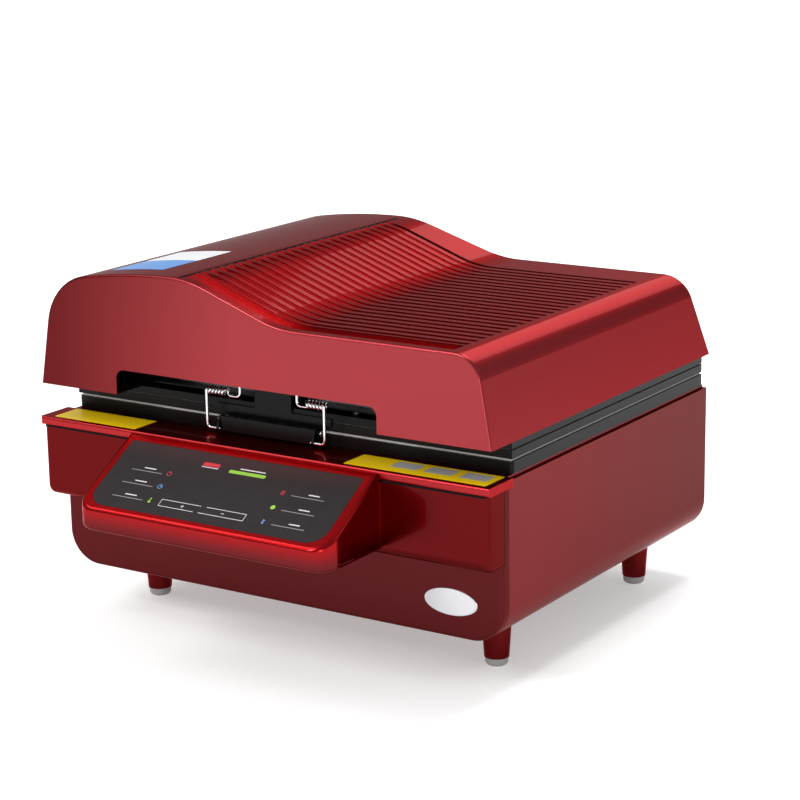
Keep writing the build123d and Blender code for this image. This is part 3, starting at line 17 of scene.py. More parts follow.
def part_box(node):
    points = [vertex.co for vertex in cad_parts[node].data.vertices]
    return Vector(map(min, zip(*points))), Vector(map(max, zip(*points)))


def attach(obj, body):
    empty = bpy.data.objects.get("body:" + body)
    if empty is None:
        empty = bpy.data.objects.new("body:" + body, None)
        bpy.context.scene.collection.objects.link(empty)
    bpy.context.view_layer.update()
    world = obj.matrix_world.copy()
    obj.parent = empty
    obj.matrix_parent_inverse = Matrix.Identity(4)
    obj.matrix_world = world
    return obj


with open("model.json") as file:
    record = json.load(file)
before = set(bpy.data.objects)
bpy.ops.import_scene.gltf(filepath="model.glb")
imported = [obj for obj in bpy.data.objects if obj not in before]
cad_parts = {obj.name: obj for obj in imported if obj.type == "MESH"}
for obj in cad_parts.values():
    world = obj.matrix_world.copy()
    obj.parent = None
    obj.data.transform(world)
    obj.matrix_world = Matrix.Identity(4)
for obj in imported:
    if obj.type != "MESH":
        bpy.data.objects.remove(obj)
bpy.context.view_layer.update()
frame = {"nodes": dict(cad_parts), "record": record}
MM = 0.001

# %% [markdown]
# ## The camera
#
# The machine is seen from its right front and a little above. A long lens keeps its edges nearly
# parallel. The camera could be aimed by a Track To constraint, but a plain rotation matrix also
# carries the slight roll that the picture has.

# %% Camera
camera_place = Vector((1355.5, -2001.0, 838.2)) * MM
turn_right = 0.578
tilt_down = 0.246
roll = -0.015
sensor = 36.0
lens = 104.0
far_end = 50.0


def camera_matrix():
    """World matrix of the camera, from its turn, tilt and roll."""
    right = Vector((math.cos(turn_right), math.sin(turn_right), 0))
    ahead = Vector((
        -math.sin(turn_right) * math.cos(tilt_down),
        math.cos(turn_right) * math.cos(tilt_down),
        -math.sin(tilt_down),
    ))
    up = right.cross(ahead)
    across = math.cos(roll) * right + math.sin(roll) * up
    upward = math.cos(roll) * up - math.sin(roll) * right
    turned = Matrix((across, upward, -ahead)).transposed().to_4x4()
    return Matrix.Translation(camera_place) @ turned


bpy.ops.object.select_all(action="DESELECT")
bpy.ops.object.camera_add()
camera = bpy.context.object
camera.name = "camera"
camera.data.sensor_width = sensor
camera.data.lens = lens
camera.data.clip_end = far_end
camera.matrix_world = camera_matrix()
bpy.context.scene.camera = camera
print("camera, m from the machine:", round(camera_place.length, 2))

# %% [markdown]
# ## Writing finishes as sums
#
# A finish is a small program of shader nodes. Wiring them by hand hides the sum that they make, so
# one class wraps a socket and lets Python's own operators add the Math nodes. Every other node
# comes from one method, which sets a node's options before it feeds its sockets.


# %% A number that changes over a surface
class Amount:
    """A number that changes over a surface: arithmetic on it adds Math nodes."""

    def __init__(self, finish, socket):
        self.finish = finish
        self.socket = socket

    def math(self, operation, *numbers):
        node = self.finish.tree.nodes.new("ShaderNodeMath")
        node.operation = operation
        for socket, number in zip(node.inputs, numbers):
            self.finish.feed(socket, number)
        return Amount(self.finish, node.outputs[0])

    def __add__(self, other):
        return self.math("ADD", self, other)

    def __sub__(self, other):
        return self.math("SUBTRACT", self, other)

    def __mul__(self, other):
        return self.math("MULTIPLY", self, other)

    def __truediv__(self, other):
        return self.math("DIVIDE", self, other)

    def __radd__(self, other):
        return self.math("ADD", other, self)

    def __rsub__(self, other):
        return self.math("SUBTRACT", other, self)

    def __rmul__(self, other):
        return self.math("MULTIPLY", other, self)

    def __rtruediv__(self, other):
        return self.math("DIVIDE", other, self)

    def held(self):
        """Held between 0 and 1."""
        return self.math("MAXIMUM", self.math("MINIMUM", self, 1.0), 0.0)


# %% A finish
mix_share, mix_first, mix_second, mix_result = 0, 6, 7, 2  # a Mix node's sockets for colours


class Finish:
    """A material: a surface shader and what feeds it."""

    def __init__(self, name, **plain):
        self.material = bpy.data.materials.new(name)
        self.material.use_nodes = True
        self.tree = self.material.node_tree
        self.shader = self.tree.nodes["Principled BSDF"]
        for socket, value in plain.items():
            self.feed(self.shader.inputs[socket.replace("_", " ")], value)

    def feed(self, socket, value):
        """Links a socket to an amount or a colour, or sets its plain value."""
        if isinstance(value, Amount):
            self.tree.links.new(value.socket, socket)
        elif socket.type == "RGBA" and len(value) == 3:
            socket.default_value = (*value, 1.0)
        else:
            socket.default_value = value

    def node(self, kind, settings=None, inputs=None, output=0):
        """Adds a node, sets its options, feeds its sockets and returns one output."""
        made = self.tree.nodes.new("ShaderNode" + kind)
        for name, value in (settings or {}).items():
            setattr(made, name, value)
        for name, value in (inputs or {}).items():
            self.feed(made.inputs[name], value)
        return Amount(self, made.outputs[output])

    def place(self):
        """Where a point lies on the piece, in metres."""
        return self.node("TexCoord", output="Object")

    def grain(self, scale, detail=2.0):
        """Noise from 0 to 1, scale patches to the metre."""
        sockets = {"Vector": self.place(), "Scale": scale, "Detail": detail}
        return self.node("TexNoise", inputs=sockets)

    def mix(self, share, first, second):
        """Colour between two, by a share from 0 to 1."""
        colours = {mix_share: share, mix_first: first, mix_second: second}
        return self.node("Mix", {"data_type": "RGBA"}, colours, mix_result)

    def colour(self, value):
        self.feed(self.shader.inputs["Base Color"], value)

    def rough(self, value):
        self.feed(self.shader.inputs["Roughness"], value)

    def stirred(self, rough, noise, stir):
        """Roughness that noise moves up and down about its middle."""
        self.rough(rough - stir / 2 + noise * stir)

    def bump(self, height, depth):
        """Raises the surface by height, which runs from 0 to 1, times depth in metres."""
        sockets = {"Height": height, "Distance": depth, "Strength": 1.0}
        self.feed(self.shader.inputs["Normal"], self.node("Bump", inputs=sockets))


# %% [markdown]
# ## Red lacquer
#
# The machine wears one candy lacquer: metal flakes under a deep red tint and a clear coat. The
# tint colours what the flakes reflect, so the shader is a red metal and not a red paint, and the
# thin coat adds the pale glints along the edges. The flakes are too small to see one by one, so
# they only stir the colour and the gloss. The lower front and the fascia get darker copies of the
# red, as painted shade, and the ledge's folded sheet a lighter one, as painted light.

# %% Red lacquer
edge_red = (0.75, 0.30, 0.30)
coat_rough = 0.06
flake_scale = 2600.0
cloud_scale = 5.0
flake_share = 0.3
flake_stir = 0.04


def red_lacquer(name, deep, bright, rough, coat=0.16):
    """Metallic red under a clear coat; deep and bright are the colours of its flakes."""
    finish = Finish(
        name, Metallic=1.0, Coat_Weight=coat, Coat_Roughness=coat_rough, Specular_Tint=edge_red
    )
    flakes = finish.grain(flake_scale)
    cloud = finish.grain(cloud_scale)
    finish.colour(finish.mix(flakes * flake_share + cloud * (1 - flake_share), deep, bright))
    finish.stirred(rough, flakes, flake_stir)
    return finish


# Painted shade and light: copies of one red lacquer, darker for the lower front and the fascia,
# lighter for the ledge.
lower_shaded_finish = red_lacquer("lower_lacquer_painted_shade", (0.065, 0.003, 0.004), (0.095, 0.006, 0.008), 0.36)
fascia_shaded_finish = red_lacquer(
    "fascia_lacquer_painted_shade", (0.085, 0.001, 0.002), (0.115, 0.003, 0.004), 0.26, coat=0.10
)
ledge_painted_light_finish = red_lacquer("ledge_lacquer_painted_light", (0.28, 0.010, 0.014), (0.36, 0.018, 0.022), 0.30)
lower_red_painted_shade = lower_shaded_finish.material
fascia_red_painted_shade = fascia_shaded_finish.material
ledge_red_painted_light = ledge_painted_light_finish.material
print("plain lacquers:", lower_red_painted_shade.name, fascia_red_painted_shade.name, ledge_red_painted_light.name)

# %% [markdown]
# ## Painted shade that changes along a piece
#
# On three large pieces the red is blended from darker to lighter, as painted shade and light. It
# is darkest at the hood's left end, at the back of the cabinet's sides and low on the console. It
# could be painted on by hand, but a blend worked out from a point's own place is even, and needs
# no picture. The starts and distances are in metres along one axis.


# %% Painted shade along an axis
def graded(finish, axis, start, change, dark, light):
    """Blends a lacquer into a second colour along an axis, from start over a distance: painted
    shade and light.
    """
    here = finish.node("SeparateXYZ", inputs={"Vector": finish.place()}, output=axis)
    share = ((here - start) / change).held()
    first = Amount(finish, finish.shader.inputs["Base Color"].links[0].from_socket)
    second = finish.mix(finish.grain(flake_scale), dark, light)
    finish.colour(finish.mix(share, first, second))
    return finish.material


# Painted shade: the cabinet's sides darken towards the back.
side_front = -0.10
side_change = 0.40
side_shaded_finish = red_lacquer(
    "side_lacquer_painted_shade", (0.14, 0.012, 0.015), (0.18, 0.018, 0.022), 0.34, coat=0.28
)
side_red_painted_shade = graded(
    side_shaded_finish, "Y", side_front, side_change, (0.07, 0.006, 0.008), (0.09, 0.009, 0.011)
)
# Painted shade and light: the hood's red is dark at its left end and lightens to the right.
hood_left = -0.26
hood_change = 0.24
hood_shaded_finish = red_lacquer("hood_lacquer_painted_shade", (0.085, 0.002, 0.003), (0.115, 0.004, 0.005), 0.30)
hood_red = graded(
    hood_shaded_finish, "X", hood_left, hood_change, (0.23, 0.021, 0.025), (0.31, 0.034, 0.040)
)
# Painted shade: the console's red is darker low down.
console_nose = 0.150
console_change = 0.018
console_shaded_finish = red_lacquer("console_lacquer_painted_shade", (0.10, 0.006, 0.009), (0.14, 0.009, 0.012), 0.24)
console_red = graded(
    console_shaded_finish, "Z", console_nose, console_change, (0.30, 0.002, 0.003), (0.36, 0.004, 0.006)
)
print("graded lacquers:", side_red_painted_shade.name, hood_red.name, console_red.name)

# %% [markdown]
# ## Black parts
#
# The tray and the frame are aluminium with a black coating, which keeps a soft grey sheen on its
# edges. Steel brackets are painted, and the fan and sockets are moulded in a fine matt texture. A
# low specular level keeps the blacks black under a bright sky. Silicone, rubber, wool and ceramic
# differ only in colour, gloss and the depth of their texture, so the same helper makes them.

# %% Coated metal and moulded plastic
black_level = 0.12
overlay_level = 0.22
coat_stir = 0.1
film_depth = 0.0002 * MM
coat_depth = 0.01 * MM
matt_depth = 0.03 * MM
mould_depth = 0.04 * MM
wool_depth = 0.6 * MM


def coated(name, dark, light, rough, texture, depth, **plain):
    """Even colour with a fine texture: noise stirs its colour, its gloss and its surface."""
    finish = Finish(name, **plain)
    grain = finish.grain(texture, detail=4.0)
    finish.colour(finish.mix(grain, dark, light))
    finish.stirred(rough, grain, coat_stir)
    finish.bump(grain, depth)
    return finish.material


def black(name, dark, light, rough, texture, depth):
    """Coated finish whose sheen is low enough to stay black."""
    greys = ((dark,) * 3, (light,) * 3)
    return coated(name, *greys, rough, texture, depth, Specular_IOR_Level=black_level)


black_metal = black("black_coated_aluminium", 0.002, 0.006, 0.34, 900.0, coat_depth)
black_paint = black("satin_black_paint", 0.002, 0.006, 0.30, 700.0, coat_depth)
black_moulded = black("moulded_black", 0.006, 0.014, 0.55, 1500.0, mould_depth)
hose_rubber = black("hose_rubber", 0.008, 0.02, 0.6, 500.0, matt_depth)
overlay_black = coated(
    "control_sheet",
    (0.020, 0.016, 0.017),
    (0.027, 0.022, 0.023),
    0.14,
    60.0,
    film_depth,
    Specular_IOR_Level=overlay_level,
)

# %% Silicone, rubber, wool and ceramic
silicone = coated(
    "white_silicone", (0.62, 0.61, 0.60), (0.72, 0.71, 0.69), 0.5, 400.0, matt_depth
)
membrane = coated(
    "milky_membrane", (0.50, 0.48, 0.43), (0.60, 0.58, 0.53), 0.35, 60.0, mould_depth
)
foot_rubber = coated(
    "pale_rubber", (0.42, 0.41, 0.40), (0.52, 0.51, 0.50), 0.45, 600.0, matt_depth
)
board_green = coated(
    "circuit_board", (0.01, 0.09, 0.035), (0.02, 0.14, 0.06), 0.4, 250.0, matt_depth
)
wool = coated("mineral_wool", (0.42, 0.38, 0.28), (0.60, 0.56, 0.45), 0.95, 350.0, wool_depth)
ceramic_white = coated(
    "white_ceramic", (0.62, 0.60, 0.56), (0.72, 0.70, 0.66), 0.45, 700.0, matt_depth
)
print("wool's texture, mm deep:", wool_depth / MM)

# %% [markdown]
# ## Bright metal
#
# Spring wire, plated screws and the chamber's reflector sheet are bare metal. Drawn wire shows
# fine lines along its length; rolled sheet shows them along one axis, which a stretched noise
# gives. The heater tubes are milky quartz, so their finish isn't a metal and passes a third of the
# light.

# %% Bright metal
line_stir = 0.12
line_depth = 0.01 * MM


def bright_metal(name, dark, light, rough, stretch):
    """Bare metal whose drawing or rolling lines run along the axis with the smallest stretch."""
    finish = Finish(name, Metallic=1.0)
    along = finish.node("Mapping", inputs={"Vector": finish.place(), "Scale": stretch})
    lines = finish.node("TexNoise", inputs={"Vector": along, "Scale": 1.0, "Detail": 3.0})
    finish.colour(finish.mix(lines, dark, light))
    finish.stirred(rough, lines, line_stir)
    finish.bump(lines, line_depth)
    return finish.material


wire = bright_metal(
    "spring_wire", (0.66, 0.66, 0.67), (0.88, 0.88, 0.89), 0.24, (900.0, 900.0, 90.0)
)
plated = bright_metal(
    "plated_steel", (0.50, 0.50, 0.51), (0.68, 0.68, 0.69), 0.30, (600.0, 600.0, 600.0)
)
reflector = bright_metal(
    "reflector_sheet", (0.62, 0.62, 0.62), (0.76, 0.76, 0.76), 0.30, (12.0, 900.0, 900.0)
)
cast_metal = bright_metal(
    "cast_aluminium", (0.28, 0.29, 0.30), (0.42, 0.43, 0.44), 0.50, (500.0, 500.0, 500.0)
)

# %% Quartz
quartz_scale = 200.0
quartz_finish = Finish("quartz_tube", Roughness=0.12, Transmission_Weight=0.35)
quartz_grain = quartz_finish.grain(quartz_scale)
quartz_finish.colour(quartz_finish.mix(quartz_grain, (0.62, 0.58, 0.52), (0.80, 0.77, 0.72)))
quartz = quartz_finish.material
print("metals and quartz:", wire.name, plated.name, reflector.name, cast_metal.name, quartz.name)

# %% [markdown]
# ## Each node gets its finish
#
# The machine's record gives every node a material slot, so most finishes follow from the slot. A
# few red pieces share a slot but get a darker or lighter copy of its red as painted shade and
# light, and those are named one by one.

# %% Finishes on the nodes
# The cabinet, hood and console slots take the lacquers with painted shade blended in.
finish_of_slot = {
    "cabinet_red": side_red_painted_shade,
    "hood_red": hood_red,
    "console_red": console_red,
    "overlay_black": overlay_black,
    "black_metal": black_metal,
    "black_steel": black_paint,
    "bright_steel": plated,
    "wire": wire,
    "white_silicone": silicone,
    "membrane_silicone": membrane,
    "pad_rubber": foot_rubber,
    "board": board_green,
    "black_plastic": black_moulded,
    "hose_rubber": hose_rubber,
    "pump_metal": cast_metal,
    "chamber_metal": reflector,
    "quartz": quartz,
    "ceramic": ceramic_white,
    "lagging": wool,
}
# Painted shade and light: darker copies of the red for the lower front, the fascia and the feet, a
# lighter one for the ledge.
painted_shade_of_node = {
    "front_panel": lower_red_painted_shade,
    "front_fascia": fascia_red_painted_shade,
    "front_ledge": ledge_red_painted_light,
    "feet": fascia_red_painted_shade,
}
for row in frame["record"]["subparts"]:
    node = frame["nodes"][row["node"]]
    finish = painted_shade_of_node.get(row["node"], finish_of_slot[row["material_slot"]])
    for material_slot in node.material_slots:
        material_slot.material = finish
    if not node.material_slots:
        node.data.materials.append(finish)
print("nodes dressed:", len(frame["nodes"]))

# %% [markdown]
# ## Tools for the small pieces
#
# Strips, plates, printed marks and screws all start as one flat face: a plane with rounded corners
# or a disc. Edit mode raises it, and an inset first leaves only its outline. Each is shaped about
# the origin, then turned onto its surface, and its place is fixed in its mesh. What stands in rows
# is repeated by an Array modifier.


# %% A flat start
def alone(piece):
    """Makes a piece the only selected object."""
    bpy.ops.object.select_all(action="DESELECT")
    piece.select_set(True)
    bpy.context.view_layer.objects.active = piece


def flat_bar(width, length, corner, steps=4):
    """Flat rectangle with rounded corners about the origin."""
    bpy.ops.object.select_all(action="DESELECT")
    bpy.ops.mesh.primitive_plane_add(size=1)
    piece = bpy.context.object
    piece.scale = (width, length, 1)
    bpy.ops.object.transform_apply(scale=True)
    bpy.ops.object.mode_set(mode="EDIT")
    bpy.ops.mesh.select_all(action="SELECT")
    bpy.ops.mesh.bevel(offset=corner, segments=steps, affect="VERTICES")
    bpy.ops.object.mode_set(mode="OBJECT")
    return piece


def flat_disc(radius, sides, squash=1.0):
    """Flat disc, or an oval squashed along Y, about the origin."""
    bpy.ops.object.select_all(action="DESELECT")
    bpy.ops.mesh.primitive_circle_add(vertices=sides, radius=radius, fill_type="NGON")
    piece = bpy.context.object
    piece.scale = (1, squash, 1)
    bpy.ops.object.transform_apply(scale=True)
    return piece


# %% Thickness, an outline, and steps towards the top
def raised(piece, height, line=None, steps=()):
    """Raises a flat face. A line width keeps only its outline; steps are (shrink, rise) pairs."""
    alone(piece)
    bpy.ops.object.mode_set(mode="EDIT")
    bpy.ops.mesh.select_all(action="SELECT")
    if line is not None:
        bpy.ops.mesh.inset(thickness=line)
        bpy.ops.mesh.delete(type="FACE")
        bpy.ops.mesh.select_all(action="SELECT")
    bpy.ops.mesh.extrude_region_move(TRANSFORM_OT_translate={"value": (0, 0, height)})
    for size, rise in steps:
        bpy.ops.mesh.extrude_region_move()
        bpy.ops.transform.resize(value=(size, size, 1), center_override=(0, 0, 0))
        bpy.ops.transform.translate(value=(0, 0, rise))
    bpy.ops.mesh.select_all(action="SELECT")
    bpy.ops.mesh.normals_make_consistent(inside=False)
    bpy.ops.object.mode_set(mode="OBJECT")
    return piece


# %% Onto a surface
def surface(origin, right, up):
    """Frame on a surface: right and up lie in it, and its own Z leaves it."""
    right = Vector(right).normalized()
    up = Vector(up).normalized()
    out = right.cross(up)
    turned = Matrix((right, up, out)).transposed().to_4x4()
    return Matrix.Translation(Vector(origin)) @ turned


def settled(piece, name, finish, body, place):
    """Turns a piece onto its surface, fixes its place in its mesh and lets it ride."""
    alone(piece)
    piece.matrix_world = place
    bpy.ops.object.transform_apply(location=True, rotation=True, scale=True)
    piece.name = name
    piece.data.name = name
    piece.data.materials.clear()
    piece.data.materials.append(finish)
    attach(piece, body)


# %% Shapes side by side
def shifted(piece, x, y, turn=0.0):
    """Moves a flat shape within its surface before it joins its neighbours."""
    alone(piece)
    piece.matrix_world = Matrix.Translation((x, y, 0)) @ Matrix.Rotation(turn, 4, "Z")
    bpy.ops.object.transform_apply(location=True, rotation=True, scale=True)
    return piece


def joined(pieces):
    """Joins shapes into one object."""
    alone(pieces[0])
    for piece in pieces:
        piece.select_set(True)
    bpy.ops.object.join()
    return bpy.context.object


def repeated(piece, count, step):
    """Repeats a piece, each time one step further."""
    alone(piece)
    row = piece.modifiers.new("row", "ARRAY")
    row.count = count
    row.use_relative_offset = False
    row.use_constant_offset = True
    row.constant_offset_displace = step
    bpy.ops.object.modifier_apply(modifier=row.name)


# %% [markdown]
# ## Yellow strips on the ledge
#
# Two adhesive strips lie on the ledge, left and right of the console, and the right one carries
# three pale patches. They could be a colour painted onto the ledge's own material. Film has a
# slight thickness and rounded corners, which catch the light along its edge, so each is a plate
# 0.3 mm thick.

# %% Yellow film
film = 0.3 * MM
patch_film = film / 4
yellow_level = 0.25
yellow_film = coated(
    "yellow_film",
    (0.93, 0.62, 0.002),
    (0.97, 0.67, 0.004),
    0.35,
    40.0,
    film_depth,
    Specular_IOR_Level=yellow_level,
)
patch_grey = coated("grey_patch", (0.40, 0.40, 0.39), (0.50, 0.50, 0.49), 0.35, 60.0, film_depth)

# %% Strips and patches
ledge_low, ledge_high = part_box("front_ledge")
strips = (("strip_left", -265 * MM, -155 * MM), ("strip_right", 109 * MM, 272 * MM))
strip_front = -194.0 * MM
strip_back = -157.0 * MM
strip_corner = 1.2 * MM
patch_middles = (170 * MM, 209 * MM, 249 * MM)
patch_front = -181.0 * MM
patch_back = -162.0 * MM
patch_width = 31.0 * MM


def on_ledge(middle, front, back, lift):
    """Frame on top of the ledge, halfway between a front and a back line."""
    origin = (middle, (front + back) / 2, ledge_high.z + lift)
    return surface(origin, (1, 0, 0), (0, 1, 0))


for name, left, right in strips:
    strip = raised(flat_bar(right - left, strip_back - strip_front, strip_corner), film)
    place = on_ledge((left + right) / 2, strip_front, strip_back, 0)
    settled(strip, name, yellow_film, "cabinet", place)
for number, middle in enumerate(patch_middles):
    patch = flat_bar(patch_width, patch_back - patch_front, strip_corner / 2)
    place = on_ledge(middle, patch_front, patch_back, film)
    settled(raised(patch, patch_film), f"strip_patch_{number}", patch_grey, "cabinet", place)
print("strips:", len(strips), "patches:", len(patch_middles))

# %% [markdown]
# ## Oval badge
#
# The lower front carries a small domed oval. A scaled sphere would give a dome without an edge.
# Here a plated rim with a stepped edge holds a slightly raised enamel field, and both start as
# squashed discs, so two pieces are enough.

# %% Badge
panel_low, panel_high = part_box("front_panel")
badge_x = 216.4 * MM
badge_z = 91.2 * MM
badge_half = 30.5 * MM
badge_squash = 0.455
badge_sides = 64
rim_tall = 0.9 * MM
rim_steps = ((0.98, 0.4 * MM), (0.96, 0.0), (0.99, -0.4 * MM))
field_half = badge_half * 0.94
field_tall = 0.3 * MM
field_out = 0.85 * MM
field_steps = ((0.96, 0.25 * MM), (0.8, 0.2 * MM), (0.6, 0.1 * MM))
enamel = coated("pale_enamel", (0.72, 0.72, 0.76), (0.78, 0.78, 0.82), 0.22, 40.0, film_depth)
badge_place = surface((badge_x, panel_low.y, badge_z), (1, 0, 0), (0, 0, 1))
field_place = Matrix.Translation((0, -field_out, 0)) @ badge_place
rim = raised(flat_disc(badge_half, badge_sides, badge_squash), rim_tall, steps=rim_steps)
settled(rim, "badge_rim", plated, "cabinet", badge_place)
field = raised(flat_disc(field_half, badge_sides, badge_squash), field_tall, steps=field_steps)
settled(field, "badge_field", enamel, "cabinet", field_place)
print("badge, mm:", round(2 * badge_half / MM, 1))

# %% [markdown]
# ## Bands on the hood
#
# A two-coloured film follows the hood's crown. It could be bent by hand, but a fine grid dropped
# onto the hood by a Shrinkwrap modifier follows it exactly, and Solidify then gives it its
# thickness. The ribs further on start as the same dropped grid, so it is a helper of its own.

# %% A grid dropped onto the hood
hood_low, hood_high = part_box("hood_shell")
drop_from = hood_high.z + 10 * MM
as_it_lies = Matrix.Identity(4)


def dropped_grid(left, right, front, back, columns, rows, lift=0.0):
    """Grid between four lines, dropped onto the hood, or to a lift above it."""
    bpy.ops.object.select_all(action="DESELECT")
    middle = ((left + right) / 2, (front + back) / 2, drop_from)
    bpy.ops.mesh.primitive_grid_add(
        x_subdivisions=columns, y_subdivisions=rows, size=1, location=middle
    )
    sheet = bpy.context.object
    sheet.scale = (right - left, back - front, 1)
    bpy.ops.object.transform_apply(location=True, rotation=True, scale=True)
    wrap = sheet.modifiers.new("drop", "SHRINKWRAP")
    wrap.target = frame["nodes"]["hood_shell"]
    wrap.wrap_method = "PROJECT"
    wrap.use_project_z = True
    wrap.use_positive_direction = False
    wrap.use_negative_direction = True
    wrap.offset = lift
    bpy.ops.object.modifier_apply(modifier=wrap.name)
    return sheet


def thickened(sheet, thickness, side):
    """Gives a sheet its thickness, upwards (side 1) or downwards (side -1)."""
    skin = sheet.modifiers.new("skin", "SOLIDIFY")
    skin.thickness = thickness
    skin.offset = side
    bpy.ops.object.modifier_apply(modifier=skin.name)


# %% Hood bands
band_film = film / 3
band_lift = 0.03 * MM
band_left = -204.0 * MM
band_right = -134.0 * MM
band_lines = (-163 * MM, -105 * MM, -45 * MM)
film_columns = 14
film_rows = 16
blue_film = coated("blue_film", (0.035, 0.20, 0.56), (0.045, 0.24, 0.62), 0.25, 40.0, film_depth)
white_film = coated("white_film", (0.66, 0.67, 0.70), (0.76, 0.77, 0.79), 0.25, 40.0, film_depth)


def draped_film_and_shadow(name, left, right, front, back, lift, finish):
    """Thin sheet between four lines, laid over the crown: film for the bands, and painted shadow
    on the crease.
    """
    sheet = dropped_grid(left, right, front, back, film_columns, film_rows, lift)
    thickened(sheet, band_film, 1.0)
    settled(sheet, name, finish, "hood", as_it_lies)


draped_film_and_shadow("band_blue", band_left, band_right, *band_lines[:2], band_lift, blue_film)
draped_film_and_shadow("band_white", band_left, band_right, *band_lines[1:], band_lift, white_film)
print("bands, mm wide:", round((band_right - band_left) / MM, 1))

# %% [markdown]
# ## Marks on the console
#
# The control sheet carries printed marks: plain bars, and small signs for power, time,
# temperature, heat and vacuum. They could be one picture on the sheet, but shapes stay sharp at
# any distance. The signs are made from rings, bars and discs, and all marks of one ink are one
# layer, a tenth of a millimetre thick.

# %% The sloped sheet
sheet_length = 91.5 * MM
sheet_thick = 2.0 * MM
sheet_start = 7.4 * MM
overlay_low, overlay_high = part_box("touch_overlay")
deep = overlay_high.y - overlay_low.y
tall = overlay_high.z - overlay_low.z
rise = sheet_length * tall - sheet_thick * deep
run = sheet_length * deep - sheet_thick * tall
slope = math.atan2(rise, run)
down = Vector((0, -math.cos(slope), -math.sin(slope)))
back_edge = Vector((0, overlay_high.y - sheet_thick * math.sin(slope), overlay_high.z))
slope_place = surface(back_edge - down * sheet_start, (1, 0, 0), -down)
print("console's slope, degrees:", round(math.degrees(slope), 2))

# %% Inks
ink = 0.1 * MM
ink_rough = 0.30
ink_scale = 80.0


def printed(name, dark, light):
    """Ink: an even colour with a smooth, half glossy surface."""
    return coated(name, dark, light, ink_rough, ink_scale, film_depth)


white_ink = printed("white_ink", (0.62, 0.62, 0.62), (0.74, 0.74, 0.74))
grey_ink = printed("dim_ink", (0.20, 0.19, 0.19), (0.28, 0.27, 0.27))
red_ink = printed("red_ink", (0.50, 0.015, 0.03), (0.62, 0.03, 0.05))
blue_ink = printed("blue_ink", (0.10, 0.26, 0.55), (0.16, 0.36, 0.68))
green_ink = printed("green_ink", (0.22, 0.50, 0.03), (0.32, 0.62, 0.06))

# %% Shapes in millimetres, at x across the slope and s down it
bar_round = 0.3
bar_steps = 2
ring_sides = 28


def bar(x, s, width, height):
    """Printed bar."""
    corner = bar_round * min(width, height)
    shape = raised(flat_bar(width * MM, height * MM, corner * MM, bar_steps), ink)
    return shifted(shape, x * MM, -s * MM)


def disc(x, s, radius, sides=20, turn=0.0):
    """Printed disc, or another regular shape."""
    return shifted(raised(flat_disc(radius * MM, sides), ink), x * MM, -s * MM, turn)


def ring(x, s, radius, line):
    """Printed ring."""
    shape = raised(flat_disc(radius * MM, ring_sides), ink, line=line * MM)
    return shifted(shape, x * MM, -s * MM)


# %% The marks, ink by ink
left_rows = (43.8, 62.3, 81.7)
right_rows = (42.8, 63.0, 82.7)
left_sign = -72.9
right_sign = 68.1
line_below = 1.8
caption_above = 2.6
quarter_turn = math.pi / 2

white_marks = [
    bar(-32.0, 27.0, 21.0, 1.0),
    bar(19.0, 22.0, 31.0, 1.4),
    bar(-59.5, 82.2, 0.6, 8.8),
    bar(-35.0, 77.8, 49.0, 0.6),
    bar(-37.5, 86.6, 44.0, 0.6),
    bar(45.5, 82.2, 0.6, 8.8),
    bar(21.0, 77.8, 49.0, 0.6),
    bar(18.0, 86.6, 55.0, 0.6),
    bar(-31.5, 82.4, 3.6, 0.7),
    bar(-31.5, 82.4, 0.7, 3.6),
    bar(18.5, 82.4, 3.6, 0.7),
]
white_marks += [bar(-99.0, s - caption_above, 15.0, 1.3) for s in left_rows]
white_marks += [bar(104.0, s - caption_above, 13.0, 1.3) for s in right_rows]
grey_marks = [bar(-101.0, s + line_below, 39.0, 0.9) for s in left_rows]
grey_marks += [bar(98.5, s + line_below, 39.0, 0.9) for s in right_rows]
red_marks = [
    bar(-32.0, 23.2, 21.0, 5.2),
    ring(left_sign, left_rows[0], 3.0, 0.7),
    bar(left_sign, left_rows[0] - 2.4, 0.7, 2.4),
]
red_marks += [bar(right_sign, right_rows[0] + step, 4.6, 0.9) for step in (-2.0, 0.0, 2.0)]
blue_marks = [
    ring(left_sign, left_rows[1], 3.0, 0.7),
    bar(left_sign, left_rows[1] - 0.8, 0.5, 2.2),
    bar(left_sign + 0.8, left_rows[1], 2.0, 0.5),
    disc(right_sign, right_rows[2] - 1.5, 1.9, 3, -quarter_turn),
    disc(right_sign, right_rows[2] + 1.5, 1.9, 3, quarter_turn),
]
green_marks = [
    bar(15.0, 27.2, 45.0, 4.2),
    bar(left_sign, left_rows[2] - 1.0, 1.3, 5.0),
    disc(left_sign, left_rows[2] + 2.0, 1.6),
    disc(right_sign, right_rows[1], 2.7),
]
for name, marks, finish in (
    ("marks_white", white_marks, white_ink),
    ("marks_grey", grey_marks, grey_ink),
    ("marks_red", red_marks, red_ink),
    ("marks_blue", blue_marks, blue_ink),
    ("marks_green", green_marks, green_ink),
):
    print(name, len(marks))
    settled(joined(marks), name, finish, "cabinet", slope_place)

# %% [markdown]
# ## Joints, caps and beads
#
# Black strips lie in the joints that show as black lines: painted shade, for the shade in the
# gaps, upright at both ends of the fascia and along it under the ledge's lip. The ledge's folded
# sheet is open at its ends, so a cap fills each. A slim bead covers the gap where the console
# stands against the fascia. All but the strip under the lip come in pairs on faces that look left
# and right, so one helper settles them.

